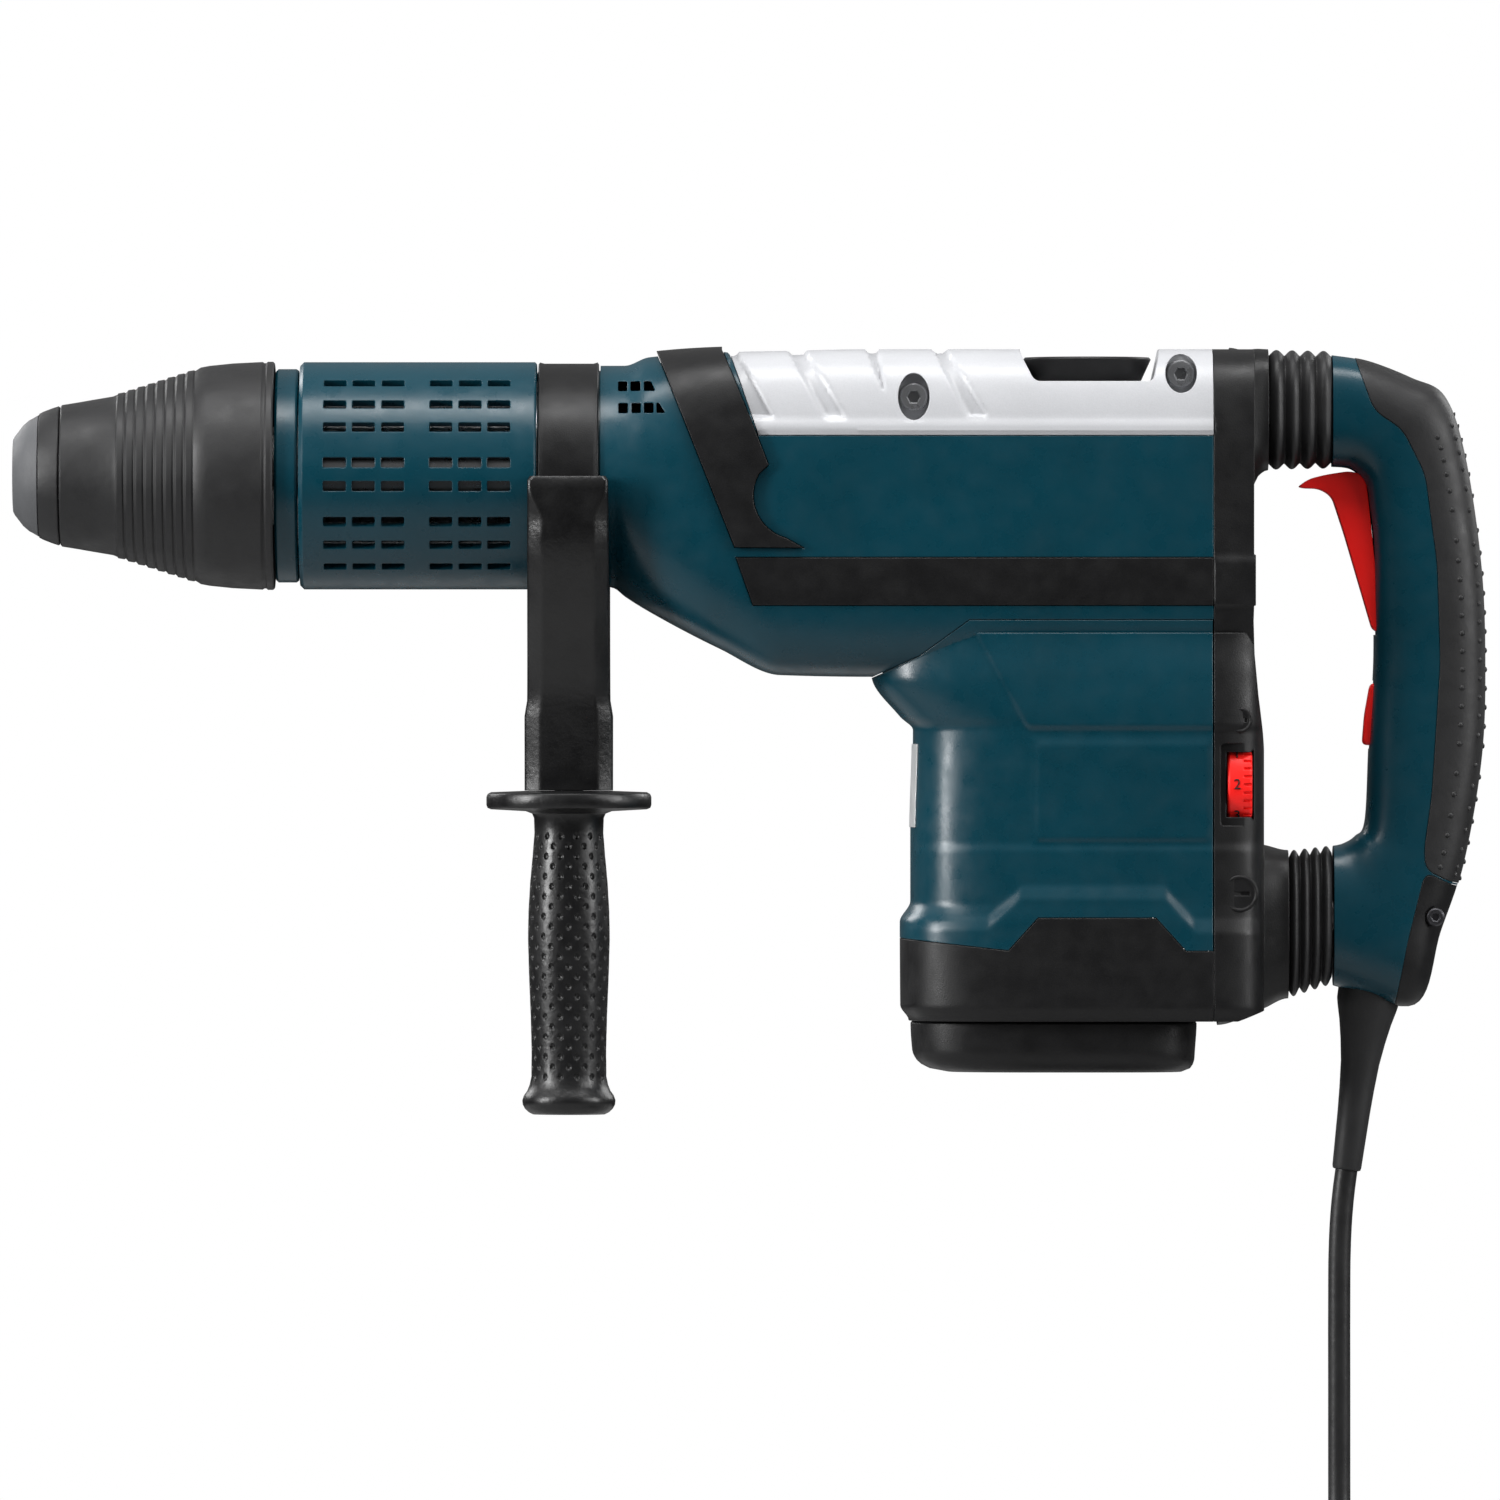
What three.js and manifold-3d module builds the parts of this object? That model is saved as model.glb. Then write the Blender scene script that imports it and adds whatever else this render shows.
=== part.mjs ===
// Rotary hammer with a side handle, a sprung rear handle and a power cord.
// Millimetres. X runs along the tool spindle from the nose (-X) to the rear handle (+X), Z is up.
// The origin lies on the spindle axis, at the middle of the side handle's clamp.
import * as THREE from "three";
import { mergeVertices } from "three/addons/utils/BufferGeometryUtils.js";
import Module from "manifold-3d";

const wasm = await Module();
wasm.setup();

// Driving dimensions
const GAP = 0.3; // clearance between neighbouring pieces
const RUNNING = 0.6; // radial clearance of what turns or slides inside a tube
const SIDES = 20; // facets of an ordinary round piece
const FINE_SIDES = 32; // facets of the barrel and of what swings round it
const WALL = 4.5; // thickness of the cast and moulded housings
const BARREL_R = 47.5;
const SPINDLE_R = 31; // outside of the spindle tube
const BORE_R = 24; // inside of the spindle tube, where piston and striker run
const SHANK_R = 9.2; // bore of the tool holder, for an 18 mm shank
const BODY_HALF = 50; // half width of the gear housing
const REAR_X = 268.3; // front face of the rear frame
const MOTOR_X = 200; // motor shaft, vertical
const GEAR_MODULE = 2;
const MOTOR_TEETH = 8;
const CRANK_TEETH = 40;
const INTERMEDIATE_TEETH = 20;
const PINION_TEETH = 10; // upper pinion of the intermediate gear
const RING_TEETH = 40; // teeth on the face of the spindle's ring gear
const CRANK_X = MOTOR_X - (GEAR_MODULE * (MOTOR_TEETH + CRANK_TEETH)) / 2;
const INTERMEDIATE_X = CRANK_X - (GEAR_MODULE * (CRANK_TEETH + INTERMEDIATE_TEETH)) / 2;
const PITCH_PLANE_X = INTERMEDIATE_X - (GEAR_MODULE * PINION_TEETH) / 2;
const RING_R = 43;
const CRANK_THROW = 16;
const GEAR_Z = [-62, -52]; // bottom and top of the crank gear and the intermediate gear
const SHAFT_END_Z = -77.5; // lower end of the gear shafts, in the gearbox floor
const WRIST_X = 63; // wrist pin of the piston, at its rearmost position
const KNOB_X = 216.5; // mode knob, on the top cover
const WHEEL = { x: 279.4, y: -30, z: -129, radius: 20, width: 10.2 };
const CORD_R = 4.75;
const FLOOR_Z = -480; // what the coiled cord lies on
const COIL = { x: 260, y: -60, inner: 38.2, outer: 66.8, height: 19 };
const PLUG = { x: 212.4, y: -133, z: -470.4 }; // where the cord enters the plug

const LOOK = {
  teal: { color: 0x0a4a5e, roughness: 0.38, metalness: 0.1 },
  black: { color: 0x1b1b1c, roughness: 0.6, metalness: 0 },
  rubber: { color: 0x1f1f20, roughness: 0.85, metalness: 0 },
  cast: { color: 0xd6d7d9, roughness: 0.4, metalness: 0.85 },
  steel: { color: 0xb4b6b9, roughness: 0.3, metalness: 1 },
  iron: { color: 0x55575a, roughness: 0.5, metalness: 0.8 },
  copper: { color: 0xb36a3c, roughness: 0.4, metalness: 0.9 },
  carbon: { color: 0x2b2b2d, roughness: 0.7, metalness: 0.1 },
  red: { color: 0xcc2320, roughness: 0.45, metalness: 0 },
};

// ---- Solids ----

// A closed geometry as a solid whose faces point outwards.
function solidOf(geometry) {
  const bare = geometry.index ? geometry.toNonIndexed() : geometry.clone();
  bare.deleteAttribute("normal");
  bare.deleteAttribute("uv");
  const merged = mergeVertices(bare, 1e-4);
  const vertProperties = merged.attributes.position.array;
  const triVerts = new Uint32Array(merged.index.array);
  const solid = new wasm.Manifold(new wasm.Mesh({ numProp: 3, vertProperties, triVerts }));
  if (solid.volume() > 0) return solid;
  triVerts.reverse();
  return new wasm.Manifold(new wasm.Mesh({ numProp: 3, vertProperties, triVerts }));
}

function geometryOf(solid) {
  const mesh = solid.getMesh();
  const geometry = new THREE.BufferGeometry();
  geometry.setAttribute("position", new THREE.BufferAttribute(mesh.vertProperties, 3));
  geometry.setIndex(new THREE.BufferAttribute(mesh.triVerts, 1));
  geometry.computeVertexNormals();
  return geometry;
}

function joined(...solids) {
  return solids.reduce((sum, next) => sum.add(next));
}

// A box from low to high along each axis.
function block([x0, x1], [y0, y1], [z0, z1]) {
  const geometry = new THREE.BoxGeometry(x1 - x0, y1 - y0, z1 - z0);
  geometry.translate((x0 + x1) / 2, (y0 + y1) / 2, (z0 + z1) / 2);
  return solidOf(geometry);
}

// Matrices that turn a shape's own axes (right, up, depth) to the part's axes.
const PLANES = {
  XY: new THREE.Matrix4(),
  YZ: new THREE.Matrix4().set(0, 0, 1, 0, 1, 0, 0, 0, 0, 1, 0, 0, 0, 0, 0, 1),
  XZ: new THREE.Matrix4().set(1, 0, 0, 0, 0, 0, -1, 0, 0, 1, 0, 0, 0, 0, 0, 1),
};

// An outline drawn in one plane, extruded from one depth to another along the plane's normal
// (along -Y for the XZ plane).
function prism(points, plane, from, to) {
  const shape = new THREE.Shape(points.map(([a, b]) => new THREE.Vector2(a, b)));
  const geometry = new THREE.ExtrudeGeometry(shape, { depth: to - from, bevelEnabled: false });
  geometry.translate(0, 0, from);
  geometry.applyMatrix4(PLANES[plane]);
  return solidOf(geometry);
}

// A side outline in X and Z, extruded across the whole width unless a half width is given.
function sidePrism(points, half = 80) {
  return prism(points, "XZ", -half, half);
}

// A profile of [along, radius] points turned round the X, Y or Z axis. It starts and ends on the
// axis, or closes on itself when it goes round a hole.
function turned(profile, axis, sides = SIDES, centre = [0, 0, 0]) {
  const touches = profile[0][1] === 0 && profile.at(-1)[1] === 0;
  const closed = touches ? profile : [...profile, profile[0]];
  const points = closed.map(([along, radius]) => new THREE.Vector2(radius, along));
  const geometry = new THREE.LatheGeometry(points, sides);
  if (axis === "X") geometry.rotateZ(-Math.PI / 2);
  if (axis === "Z") geometry.rotateX(Math.PI / 2);
  geometry.translate(...centre);
  return solidOf(geometry);
}

function rod(axis, from, to, radius, centre, sides = SIDES) {
  return turned([[from, 0], [from, radius], [to, radius], [to, 0]], axis, sides, centre);
}

function ring(axis, from, to, inner, outer, centre, sides = SIDES) {
  return turned([[from, inner], [from, outer], [to, outer], [to, inner]], axis, sides, centre);
}

// A closed skin over a row of rings with the same number of points, with flat ends.
function skin(rings) {
  const count = rings[0].length;
  const middle = (loop) => loop.reduce((sum, p) => sum.add(p), new THREE.Vector3())
    .divideScalar(count);
  const points = [...rings.flat(), middle(rings[0]), middle(rings.at(-1))];
  const index = [];
  for (let i = 0; i < count; i++) {
    const next = (i + 1) % count;
    for (let r = 0; r + 1 < rings.length; r++) {
      const [a, b] = [r * count, (r + 1) * count];
      index.push(a + i, a + next, b + next, a + i, b + next, b + i);
    }
    const last = (rings.length - 1) * count;
    index.push(rings.length * count, next, i);
    index.push(rings.length * count + 1, last + i, last + next);
  }
  const geometry = new THREE.BufferGeometry().setFromPoints(points);
  geometry.setIndex(index);
  return solidOf(geometry);
}

// A ring round a centre, spanned by two half axes. Powers over 2 square it off; the side towards
// -u and the side towards +u can have their own.
function oval(centre, u, v, powerLow, powerHigh = powerLow, count = SIDES) {
  const bent = (value, power) => Math.sign(value) * Math.abs(value) ** (2 / power);
  return Array.from({ length: count }, (_, i) => {
    const angle = (2 * Math.PI * (i + 0.5)) / count;
    const power = Math.cos(angle) < 0 ? powerLow : powerHigh;
    return new THREE.Vector3(...centre)
      .addScaledVector(new THREE.Vector3(...u), bent(Math.cos(angle), power))
      .addScaledVector(new THREE.Vector3(...v), bent(Math.sin(angle), power));
  });
}

// A polygon moved inwards by a distance (outwards if negative).
function inset(points, distance) {
  const area = points.reduce((sum, [x, y], i) => {
    const [nx, ny] = points[(i + 1) % points.length];
    return sum + x * ny - nx * y;
  }, 0);
  const turn = Math.sign(area);
  const edge = (i) => {
    const [a, b] = [points.at(i), points[(i + 1) % points.length]];
    return new THREE.Vector2(b[0] - a[0], b[1] - a[1]).normalize();
  };
  return points.map(([x, y], i) => {
    const before = edge(i - 1);
    const after = edge(i);
    const normal = new THREE.Vector2(-before.y - after.y, before.x + after.x).multiplyScalar(turn);
    const reach = distance / (1 + before.dot(after));
    return [x + normal.x * reach, y + normal.y * reach];
  });
}

function arc([x, y], radius, fromDeg, toDeg, steps) {
  return Array.from({ length: steps + 1 }, (_, i) => {
    const angle = THREE.MathUtils.degToRad(fromDeg + ((toDeg - fromDeg) * i) / steps);
    return [x + radius * Math.cos(angle), y + radius * Math.sin(angle)];
  });
}

// A regular polygon, used as the section of a wire or a cord.
function polygon(radius, sides) {
  const corners = arc([0, 0], radius, 0, 360, sides).slice(0, sides);
  return new THREE.Shape(corners.map(([x, y]) => new THREE.Vector2(x, y)));
}

// A solid of constant section along a curve.
function swept(section, extrudePath, steps) {
  return solidOf(new THREE.ExtrudeGeometry(section, { steps, bevelEnabled: false, extrudePath }));
}

// ---- Housings ----

// Gear housing sections along X: [x, top, bottom, half width, power].
const UPPER_SECTIONS = [
  [13.3, 46, -46, 46, 2],
  [18.8, 46, -47, 46.2, 2.05],
  [23.4, 46, -50.5, 46.8, 2.2],
  [33.5, 49.5, -56.8, 48, 2.6],
  [62.8, 51.5, -72.2, BODY_HALF, 3.8],
  [88.3, 52, -83.3, BODY_HALF, 4.4],
  [126, 52.7, -84, BODY_HALF, 4.6],
  [262, 52.7, -84, BODY_HALF, 4.6],
  [286, 52.7, -84, 47, 4.6],
];
const CAVITY_FRONT_X = 62.8;

// Motor housing sections along Z: [z, front, half width].
const LOWER_SECTIONS = [
  [-66, 126, 48],
  [-83.7, 126.5, 50],
  [-100.8, 138.5, 51],
  [-106.1, 143.8, 51],
  [-148.9, 142.7, 51],
  [-177.8, 142.7, 51],
  [-186.4, 138.3, 51.5],
  [-221.3, 138.5, 51.5],
  [-227.5, 142, 49.5],
];
const LOWER_REAR_X = 290;

function upperBody(thickness, frontX) {
  const sections = UPPER_SECTIONS.filter(([x]) => x >= frontX);
  return skin(sections.map(([x, top, bottom, half, power], i) => {
    const x1 = i === sections.length - 1 ? x - Math.max(thickness, 0) : x;
    const up = (top - bottom) / 2 - thickness;
    return oval([x1, 0, (top + bottom) / 2], [0, half - thickness, 0], [0, 0, up], power);
  }));
}

function lowerBody(thickness) {
  return skin(LOWER_SECTIONS.map(([z, front, half], i) => {
    const z1 = i === LOWER_SECTIONS.length - 1 ? z + Math.max(thickness, 0) : z;
    const along = (LOWER_REAR_X - front) / 2 - thickness;
    const centre = [(LOWER_REAR_X + front) / 2, 0, z1];
    return oval(centre, [along, 0, 0], [0, half - thickness, 0], 3.2, 7);
  }));
}

// The body from a front face on, shrunk by a thickness.
function body(thickness, frontX = 0) {
  return upperBody(thickness, frontX).add(lowerBody(thickness));
}

const BODY = body(0);
const CAVITY = body(WALL, CAVITY_FRONT_X);
const SHELL = BODY.subtract(CAVITY);

// Side outlines of the body's panels, in X and Z. The seam parts the gear and motor housings.
const PAD_OUTLINE = [
  [33.5, 60], [64, 60], [64, 52.3], [78.2, 17.2], [83.3, 3.9],
  ...arc([95.4, -8.8], 18.4, 150, 255, 5),
  [97.5, -30.5], [69.4, -30.3],
];
const COVER_OUTLINE = [[64.3, 60], [79.3, 16.3], [REAR_X, 16.3], [REAR_X, 60]];
const BAND_OUTLINE = [[70, -34.7], [77, -54.4], [REAR_X, -54.4], [REAR_X, -34.7]];
const SEAM = [[126.3, -84.3], [146.4, -75.2], [166.9, -60.3], [REAR_X, -60.3]];
const BASE_OUTLINE = [
  [130, -193.2], [138.9, -193.2], [183.1, -198.1], [195.4, -184.5], [244.3, -184.5],
  [256.8, -198.3], [REAR_X, -198.3], [REAR_X, -240], [130, -240],
];
const MOTOR_OUTLINE = [
  [120, -84.3], ...SEAM, [REAR_X, -198.3], [256.8, -198.3], [244.3, -184.5], [195.4, -184.5],
  [183.1, -198.1], [138.9, -193.2], [120, -193.2],
];
const REAR_OUTLINE = [[REAR_X + GAP, 70], [320, 70], [320, -240], [REAR_X + GAP, -240]];
const BAND_DEPTH = 2.6;

// The cooling slots in the neck behind the clamp: [from x, to x] in two rows.
const NECK_SLOTS = [
  { z: [34.8, 39], xs: [[20.7, 24.6], [25.9, 30.1]] },
  { z: [25.5, 29.8], xs: [[20.9, 24.9], [26.4, 30.3]] },
];

const SCREWS = [
  { x: 143.8, z: 32.3, seat: 39 },
  { x: 255, z: 42, seat: 33 },
];

function gearHousing() {
  const neck = ring("X", -13, 13.6, 40, 43.9, undefined, FINE_SIDES);
  const overlaid = sidePrism(inset(PAD_OUTLINE, -GAP)).subtract(body(2.8))
    .add(sidePrism(inset(BAND_OUTLINE, -GAP)).subtract(body(BAND_DEPTH + GAP)));
  let housing = BODY.subtract(rod("X", 10, 80, 40, undefined, FINE_SIDES))
    .subtract(CAVITY)
    .subtract(sidePrism(inset(COVER_OUTLINE, -GAP)))
    .subtract(overlaid)
    .subtract(block([REAR_X, 400], [-90, 90], [-300, 100]))
    .subtract(sidePrism([[100, -84.3], ...SEAM, [REAR_X, -300], [100, -300]]));
  for (const { z, xs } of NECK_SLOTS) {
    for (const x of xs) housing = housing.subtract(block(x, [-60, 60], z));
  }
  return housing.add(neck);
}

function frontPad() {
  return body(-2.3).intersect(sidePrism(PAD_OUTLINE)).subtract(body(2.5));
}

// A cast cover with four screw seats and a crosswise channel for the mode knob.
function topCover() {
  const channel = [[184.5, 70], [188.7, 49.5], [194, 38.8], [243.5, 38.8], [246, 50.5], [248, 70]];
  const floor = block([183, 251], [-70, 70], [34.6, 60]);
  const bosses = SCREWS.map(({ x, z }) => rod("Y", -60, 60, 9.5, [x, 0, z], 12));
  const solidParts = joined(floor, ...bosses).subtract(block([0, 300], [-28, 28], [0, 34]));
  let cover = SHELL.add(BODY.intersect(solidParts))
    .intersect(sidePrism(COVER_OUTLINE))
    .subtract(sidePrism(channel))
    .subtract(rod("Z", 20, 60, 5.4, [KNOB_X, 0, 0], 16));
  for (const { x, z, seat } of SCREWS) {
    cover = cover.subtract(rod("Y", -60, 60, 3.4, [x, 0, z], 12));
    for (const side of [-1, 1]) {
      const ends = [seat * side, 60 * side].sort((a, b) => a - b);
      cover = cover.subtract(rod("Y", ...ends, 6.6, [x, 0, z], 12));
    }
  }
  return cover;
}

// A socket-head screw across the cover, with its head on the seat of the given side.
function coverScrew({ x, z, seat }, side) {
  const screw = turned(
    [[27, 0], [27, 3], [seat + GAP, 3], [seat + GAP, 5.8], [seat + 4, 5.8], [seat + 4, 2.4],
      [seat + 2, 2.4], [seat + 2, 0]],
    "Y", 12, [x, 0, z],
  );
  return side > 0 ? screw : screw.mirror([0, 1, 0]);
}

function sideBand(side) {
  const half = block([0, 400], side < 0 ? [-90, 0] : [0, 90], [-100, 0]);
  return BODY.subtract(body(BAND_DEPTH)).intersect(sidePrism(BAND_OUTLINE)).intersect(half);
}

function motorHousing() {
  return SHELL.intersect(sidePrism(inset(MOTOR_OUTLINE, GAP)));
}

// Closed below, with the seat of the lower motor bearing.
function baseCover() {
  const tower = rod("Z", -227, -207, 16.5, [MOTOR_X, 0, 0])
    .subtract(rod("Z", -216.6, -200, 13.3, [MOTOR_X, 0, 0]));
  return SHELL.intersect(sidePrism(BASE_OUTLINE)).add(tower);
}

function baseFoot() {
  const section = (z, front, rear, half) =>
    oval([(front + rear) / 2, 0, z], [(rear - front) / 2, 0, 0], [0, half, 0], 3.2, 4);
  return skin([
    section(-227.8, 143, 262, 46),
    section(-240, 143.5, 261.5, 46),
    section(-246, 149, 260.5, 43),
    section(-248.8, 158, 256, 40),
  ]);
}

// The black frame closes the body behind and carries the two arms of the rear handle.
const UPPER_ARM = { x: 292.1, z: 27.6, height: 48.6, half: 23 };
const LOWER_ARM = { x: 300.5, z: -189.7, height: 57, half: 23 };
const ROD_R = 6;

function rearFrame() {
  const armSection = (x, z, height, half) =>
    oval([x, 0, z], [0, half, 0], [0, 0, height / 2], 3, 3, 16);
  const upper = skin([
    armSection(280, UPPER_ARM.z, UPPER_ARM.height, UPPER_ARM.half),
    armSection(UPPER_ARM.x, UPPER_ARM.z, UPPER_ARM.height, UPPER_ARM.half),
  ]);
  const lower = skin([
    armSection(278, -192, 66, 25),
    armSection(288, -191.5, 63, 25),
    armSection(LOWER_ARM.x, LOWER_ARM.z, LOWER_ARM.height, LOWER_ARM.half),
  ]);
  const { x, y, z, radius, width } = WHEEL;
  return BODY.intersect(sidePrism(REAR_OUTLINE)).add(upper).add(lower)
    .subtract(CAVITY)
    .subtract(rod("X", 260, 310, ROD_R + 0.4, [0, 0, UPPER_ARM.z]))
    .subtract(rod("X", 260, 310, ROD_R + 0.4, [0, 0, LOWER_ARM.z + 6]))
    .subtract(block([x - width / 2 - 0.6, x + width / 2 + 0.6], [-70, y], [z - 13.5, z + 13.5]))
    .subtract(rod("X", x - width / 2 - 0.6, x + width / 2 + 0.6, radius + 0.6, [0, y, z]));
}

// Bridge between gearbox and motor, with bores for the three vertical shafts.
function gearboxFloor() {
  const plate = block([66, 262], [-60, 60], [-79, -71]);
  return plate.intersect(body(WALL + GAP, CAVITY_FRONT_X))
    .subtract(rod("Z", -90, -60, 6.3, [INTERMEDIATE_X, 0, 0]))
    .subtract(rod("Z", -90, -60, 8.3, [CRANK_X, 0, 0]))
    .subtract(rod("Z", -90, -60, 16.3, [MOTOR_X, 0, 0]));
}

// ---- Barrel, nose and hammer mechanism ----

const SLOT = { length: 9.6, height: 4.3, rise: 6 };
const SLOT_STARTS = [-101.9, -89.9, -77.7, -57.7, -45.6, -33.6];
const SLOT_ANGLES = [-53.5, -38, -24.5, -6, 6, 24.5, 38, 53.5];

function barrelSleeve() {
  const tube = turned(
    [[-112.2, 43.5], [-112.2, 46.9], [-111.4, BARREL_R], [-13.3, BARREL_R], [-13.3, 40.4],
      [-17, 40.4], [-17, 43.5]],
    "X", 24,
  );
  const cutters = [];
  for (const start of SLOT_STARTS) {
    for (const angle of SLOT_ANGLES) {
      const reach = [BARREL_R - SLOT.rise, BARREL_R + SLOT.rise];
      const side = block([start, start + SLOT.length], reach, [-SLOT.height / 2, SLOT.height / 2]);
      cutters.push(side.rotate([angle, 0, 0]), side.rotate([180 - angle, 0, 0]));
    }
  }
  return cutters.reduce((sleeve, cutter) => sleeve.subtract(cutter), tube);
}

function noseCap() {
  return turned(
    [[-232.2, SHANK_R + 0.3], [-232.2, 15.7], [-228, 21.1], [-223.8, 24.1], [-219.6, 26.6],
      [-212.6, 29.2], [-212.6, 21], [-224.5, 21], [-224.5, SHANK_R + 0.3]],
    "X",
  );
}

// Rubber-covered locking sleeve with eight stepped gripping ribs.
function lockSleeve() {
  const ribs = Array.from({ length: 8 }, (_, i) => {
    const x = -188.7 + 4.16 * i;
    const radius = 34.4 + 1.3 * i;
    return [[x, radius], [x + 2.4, radius + 0.4]];
  }).flat();
  return turned(
    [[-212.2, 29.6], [-198.7, 31.8], [-190.4, 33.1], ...ribs, [-152.7, 45.8], [-140.2, 47.1],
      [-122.9, 47.7], [-122.9, 45.4], [-138, 45.4], [-146, 40.5], [-188, 29], [-212.2, 26]],
    "X",
  );
}

class Helix extends THREE.Curve {
  constructor(from, to, radius, turns) {
    super();
    Object.assign(this, { from, to, radius, turns });
  }

  getPoint(t, target = new THREE.Vector3()) {
    const angle = 2 * Math.PI * this.turns * t;
    const x = this.from + (this.to - this.from) * t;
    return target.set(x, this.radius * Math.cos(angle), this.radius * Math.sin(angle));
  }
}

function lockSpring() {
  return swept(polygon(1.2, 4), new Helix(-197, -172, 24.4, 4.5), 45);
}

// Tool holder: the socket takes the shank, the flange behind the sleeve's spring turns with it.
function toolHolder() {
  return turned(
    [[-224.2, SHANK_R], [-224.2, 20.5], [-170, 20.5], [-170, 27], [-164, 27], [-164, 20.5],
      [-118.4, 20.5], [-118.4, 12.6], [-125, 12.6], [-125, SHANK_R]],
    "X",
  );
}

// The spindle tube stands behind the tool holder and guides the piston and the striker.
function spindleTube() {
  return ring("X", -118, 71.7, BORE_R, SPINDLE_R);
}

// Outline of a straight-toothed gear, with a tooth at the angle `tooth`.
function gearOutline(teeth, tooth = 0) {
  const pitch = (GEAR_MODULE * teeth) / 2;
  const corners = [[-0.28, -1.1], [-0.13, 0.85], [0.13, 0.85], [0.28, -1.1]];
  return Array.from({ length: teeth }, (_, i) =>
    corners.map(([turn, height]) => {
      const angle = THREE.MathUtils.degToRad(tooth) + (2 * Math.PI * (i + turn)) / teeth;
      const radius = pitch + height * GEAR_MODULE;
      return [radius * Math.cos(angle), radius * Math.sin(angle)];
    }),
  ).flat();
}

function spurGear(teeth, [from, to], x, tooth) {
  return prism(gearOutline(teeth, tooth), "XY", from, to).translate([x, 0, 0]);
}

// Ring gear behind the spindle tube: its teeth stand on its rear face.
function ringGear() {
  const face = PITCH_PLANE_X - 1.1 * GEAR_MODULE;
  const tip = PITCH_PLANE_X + 0.6 * GEAR_MODULE;
  const tooth = block([face - 1, tip], [-0.9, 0.9], [35.8, RING_R - 0.5]);
  const teeth = Array.from({ length: RING_TEETH }, (_, i) =>
    tooth.rotate([(360 * (i + 0.5)) / RING_TEETH, 0, 0]),
  );
  return joined(ring("X", 72, face, BORE_R + 1, RING_R), ...teeth);
}

function piston() {
  const radius = BORE_R - RUNNING;
  const cup = turned([[25, 0], [25, radius], [75, radius], [75, 16], [40, 16], [40, 0]], "X");
  const pinHole = rod("Z", -30, 30, 5.3, [WRIST_X, 0, 0], 16);
  return cup.subtract(block([42, 80], [-16, 16], [-7, 7])).subtract(pinHole);
}

// Connecting rod with its wrist pin. The eye stands just above the crank pin: that pivot is open.
function connectingRod() {
  const crankEyeX = CRANK_X + CRANK_THROW;
  const bar = block([WRIST_X, crankEyeX], [-5, 5], [-5, 5]);
  const eye = rod("Z", -6, 6, 12, [crankEyeX, 0, 0]);
  const pin = rod("Z", -14, 14, 5, [WRIST_X, 0, 0], 16);
  const end = rod("Z", -6, 6, 9, [WRIST_X, 0, 0], 16);
  return joined(bar, eye, pin, end).subtract(rod("Z", -8, 8, 7.3, [crankEyeX, 0, 0], 16));
}

function striker() {
  const radius = BORE_R - RUNNING;
  return turned([[-45, 0], [-45, radius], [-14, radius], [-12, 20], [-12, 0]], "X");
}

function strikingPin() {
  return turned(
    [[-116.5, 0], [-116.5, 12], [-100, 12], [-100, 17], [-85, 17], [-85, 10], [-61, 10], [-61, 0]],
    "X",
  );
}

// ---- Gears and motor ----

function crankGear() {
  const shaft = rod("Z", SHAFT_END_Z, GEAR_Z[0] + 1, 8, [CRANK_X, 0, 0]);
  const web = rod("Z", GEAR_Z[1] - 1, -45, 26, [CRANK_X, 0, 0]);
  const pin = rod("Z", -46, -6.6, 7, [CRANK_X + CRANK_THROW, 0, 0], 16);
  return joined(spurGear(CRANK_TEETH, GEAR_Z, CRANK_X, 0), shaft, web, pin);
}

function intermediateGear() {
  const shaft = rod("Z", SHAFT_END_Z, -33, 6, [INTERMEDIATE_X, 0, 0], 16);
  const gear = spurGear(INTERMEDIATE_TEETH, GEAR_Z, INTERMEDIATE_X, 180 / INTERMEDIATE_TEETH);
  const pinion = spurGear(PINION_TEETH, [-44, -34], INTERMEDIATE_X, 180);
  return joined(gear, shaft, pinion);
}

function armatureShaft() {
  const pinion = spurGear(MOTOR_TEETH, [-66, -48], MOTOR_X, 180 / MOTOR_TEETH);
  return rod("Z", -216.2, -65, 5, [MOTOR_X, 0, 0], 16).add(pinion);
}

function motorFan() {
  const blade = block([MOTOR_X + 12, MOTOR_X + 35], [-0.9, 0.9], [-97, -89]);
  const blades = Array.from({ length: 9 }, (_, i) =>
    blade.translate([-MOTOR_X, 0, 0]).rotate([0, 0, 40 * i]).translate([MOTOR_X, 0, 0]),
  );
  return joined(
    ring("Z", -99, -96.5, 5.3, 36, [MOTOR_X, 0, 0]),
    ring("Z", -99, -89, 5.3, 13, [MOTOR_X, 0, 0]),
    ...blades,
  );
}

function carbonBrush(side) {
  const brush = block([MOTOR_X - 4, MOTOR_X + 4], [15.4, 36], [-190, -182]);
  return side > 0 ? brush : brush.mirror([0, 1, 0]);
}

// ---- Side handle ----

// The saddle hangs under the clamp band and narrows down to the grip.
function saddleBlock() {
  const front = [
    [-57.5, -0.8], [-57.5, -20], [-46, -54], [-25, -84], [-18, -131.2],
    [18, -131.2], [25, -84], [46, -54], [57.5, -20], [57.5, -0.8],
  ];
  const side = [[-16.8, 0], [16.8, 0], [18.4, -131.2], [-18.4, -131.2]];
  return prism(front, "YZ", -20, 20)
    .intersect(sidePrism(side))
    .subtract(rod("X", -30, 30, 47.95, undefined, FINE_SIDES))
    .subtract(rod("Z", -140, -40, 6.3, undefined, 16))
    .subtract(rod("Z", -72, -30, 11.6, undefined, 16));
}

function clampBolt() {
  return rod("Z", -158, -64, 6, undefined, 16).add(rod("Z", -71.6, -64, 11, undefined, 6));
}

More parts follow.
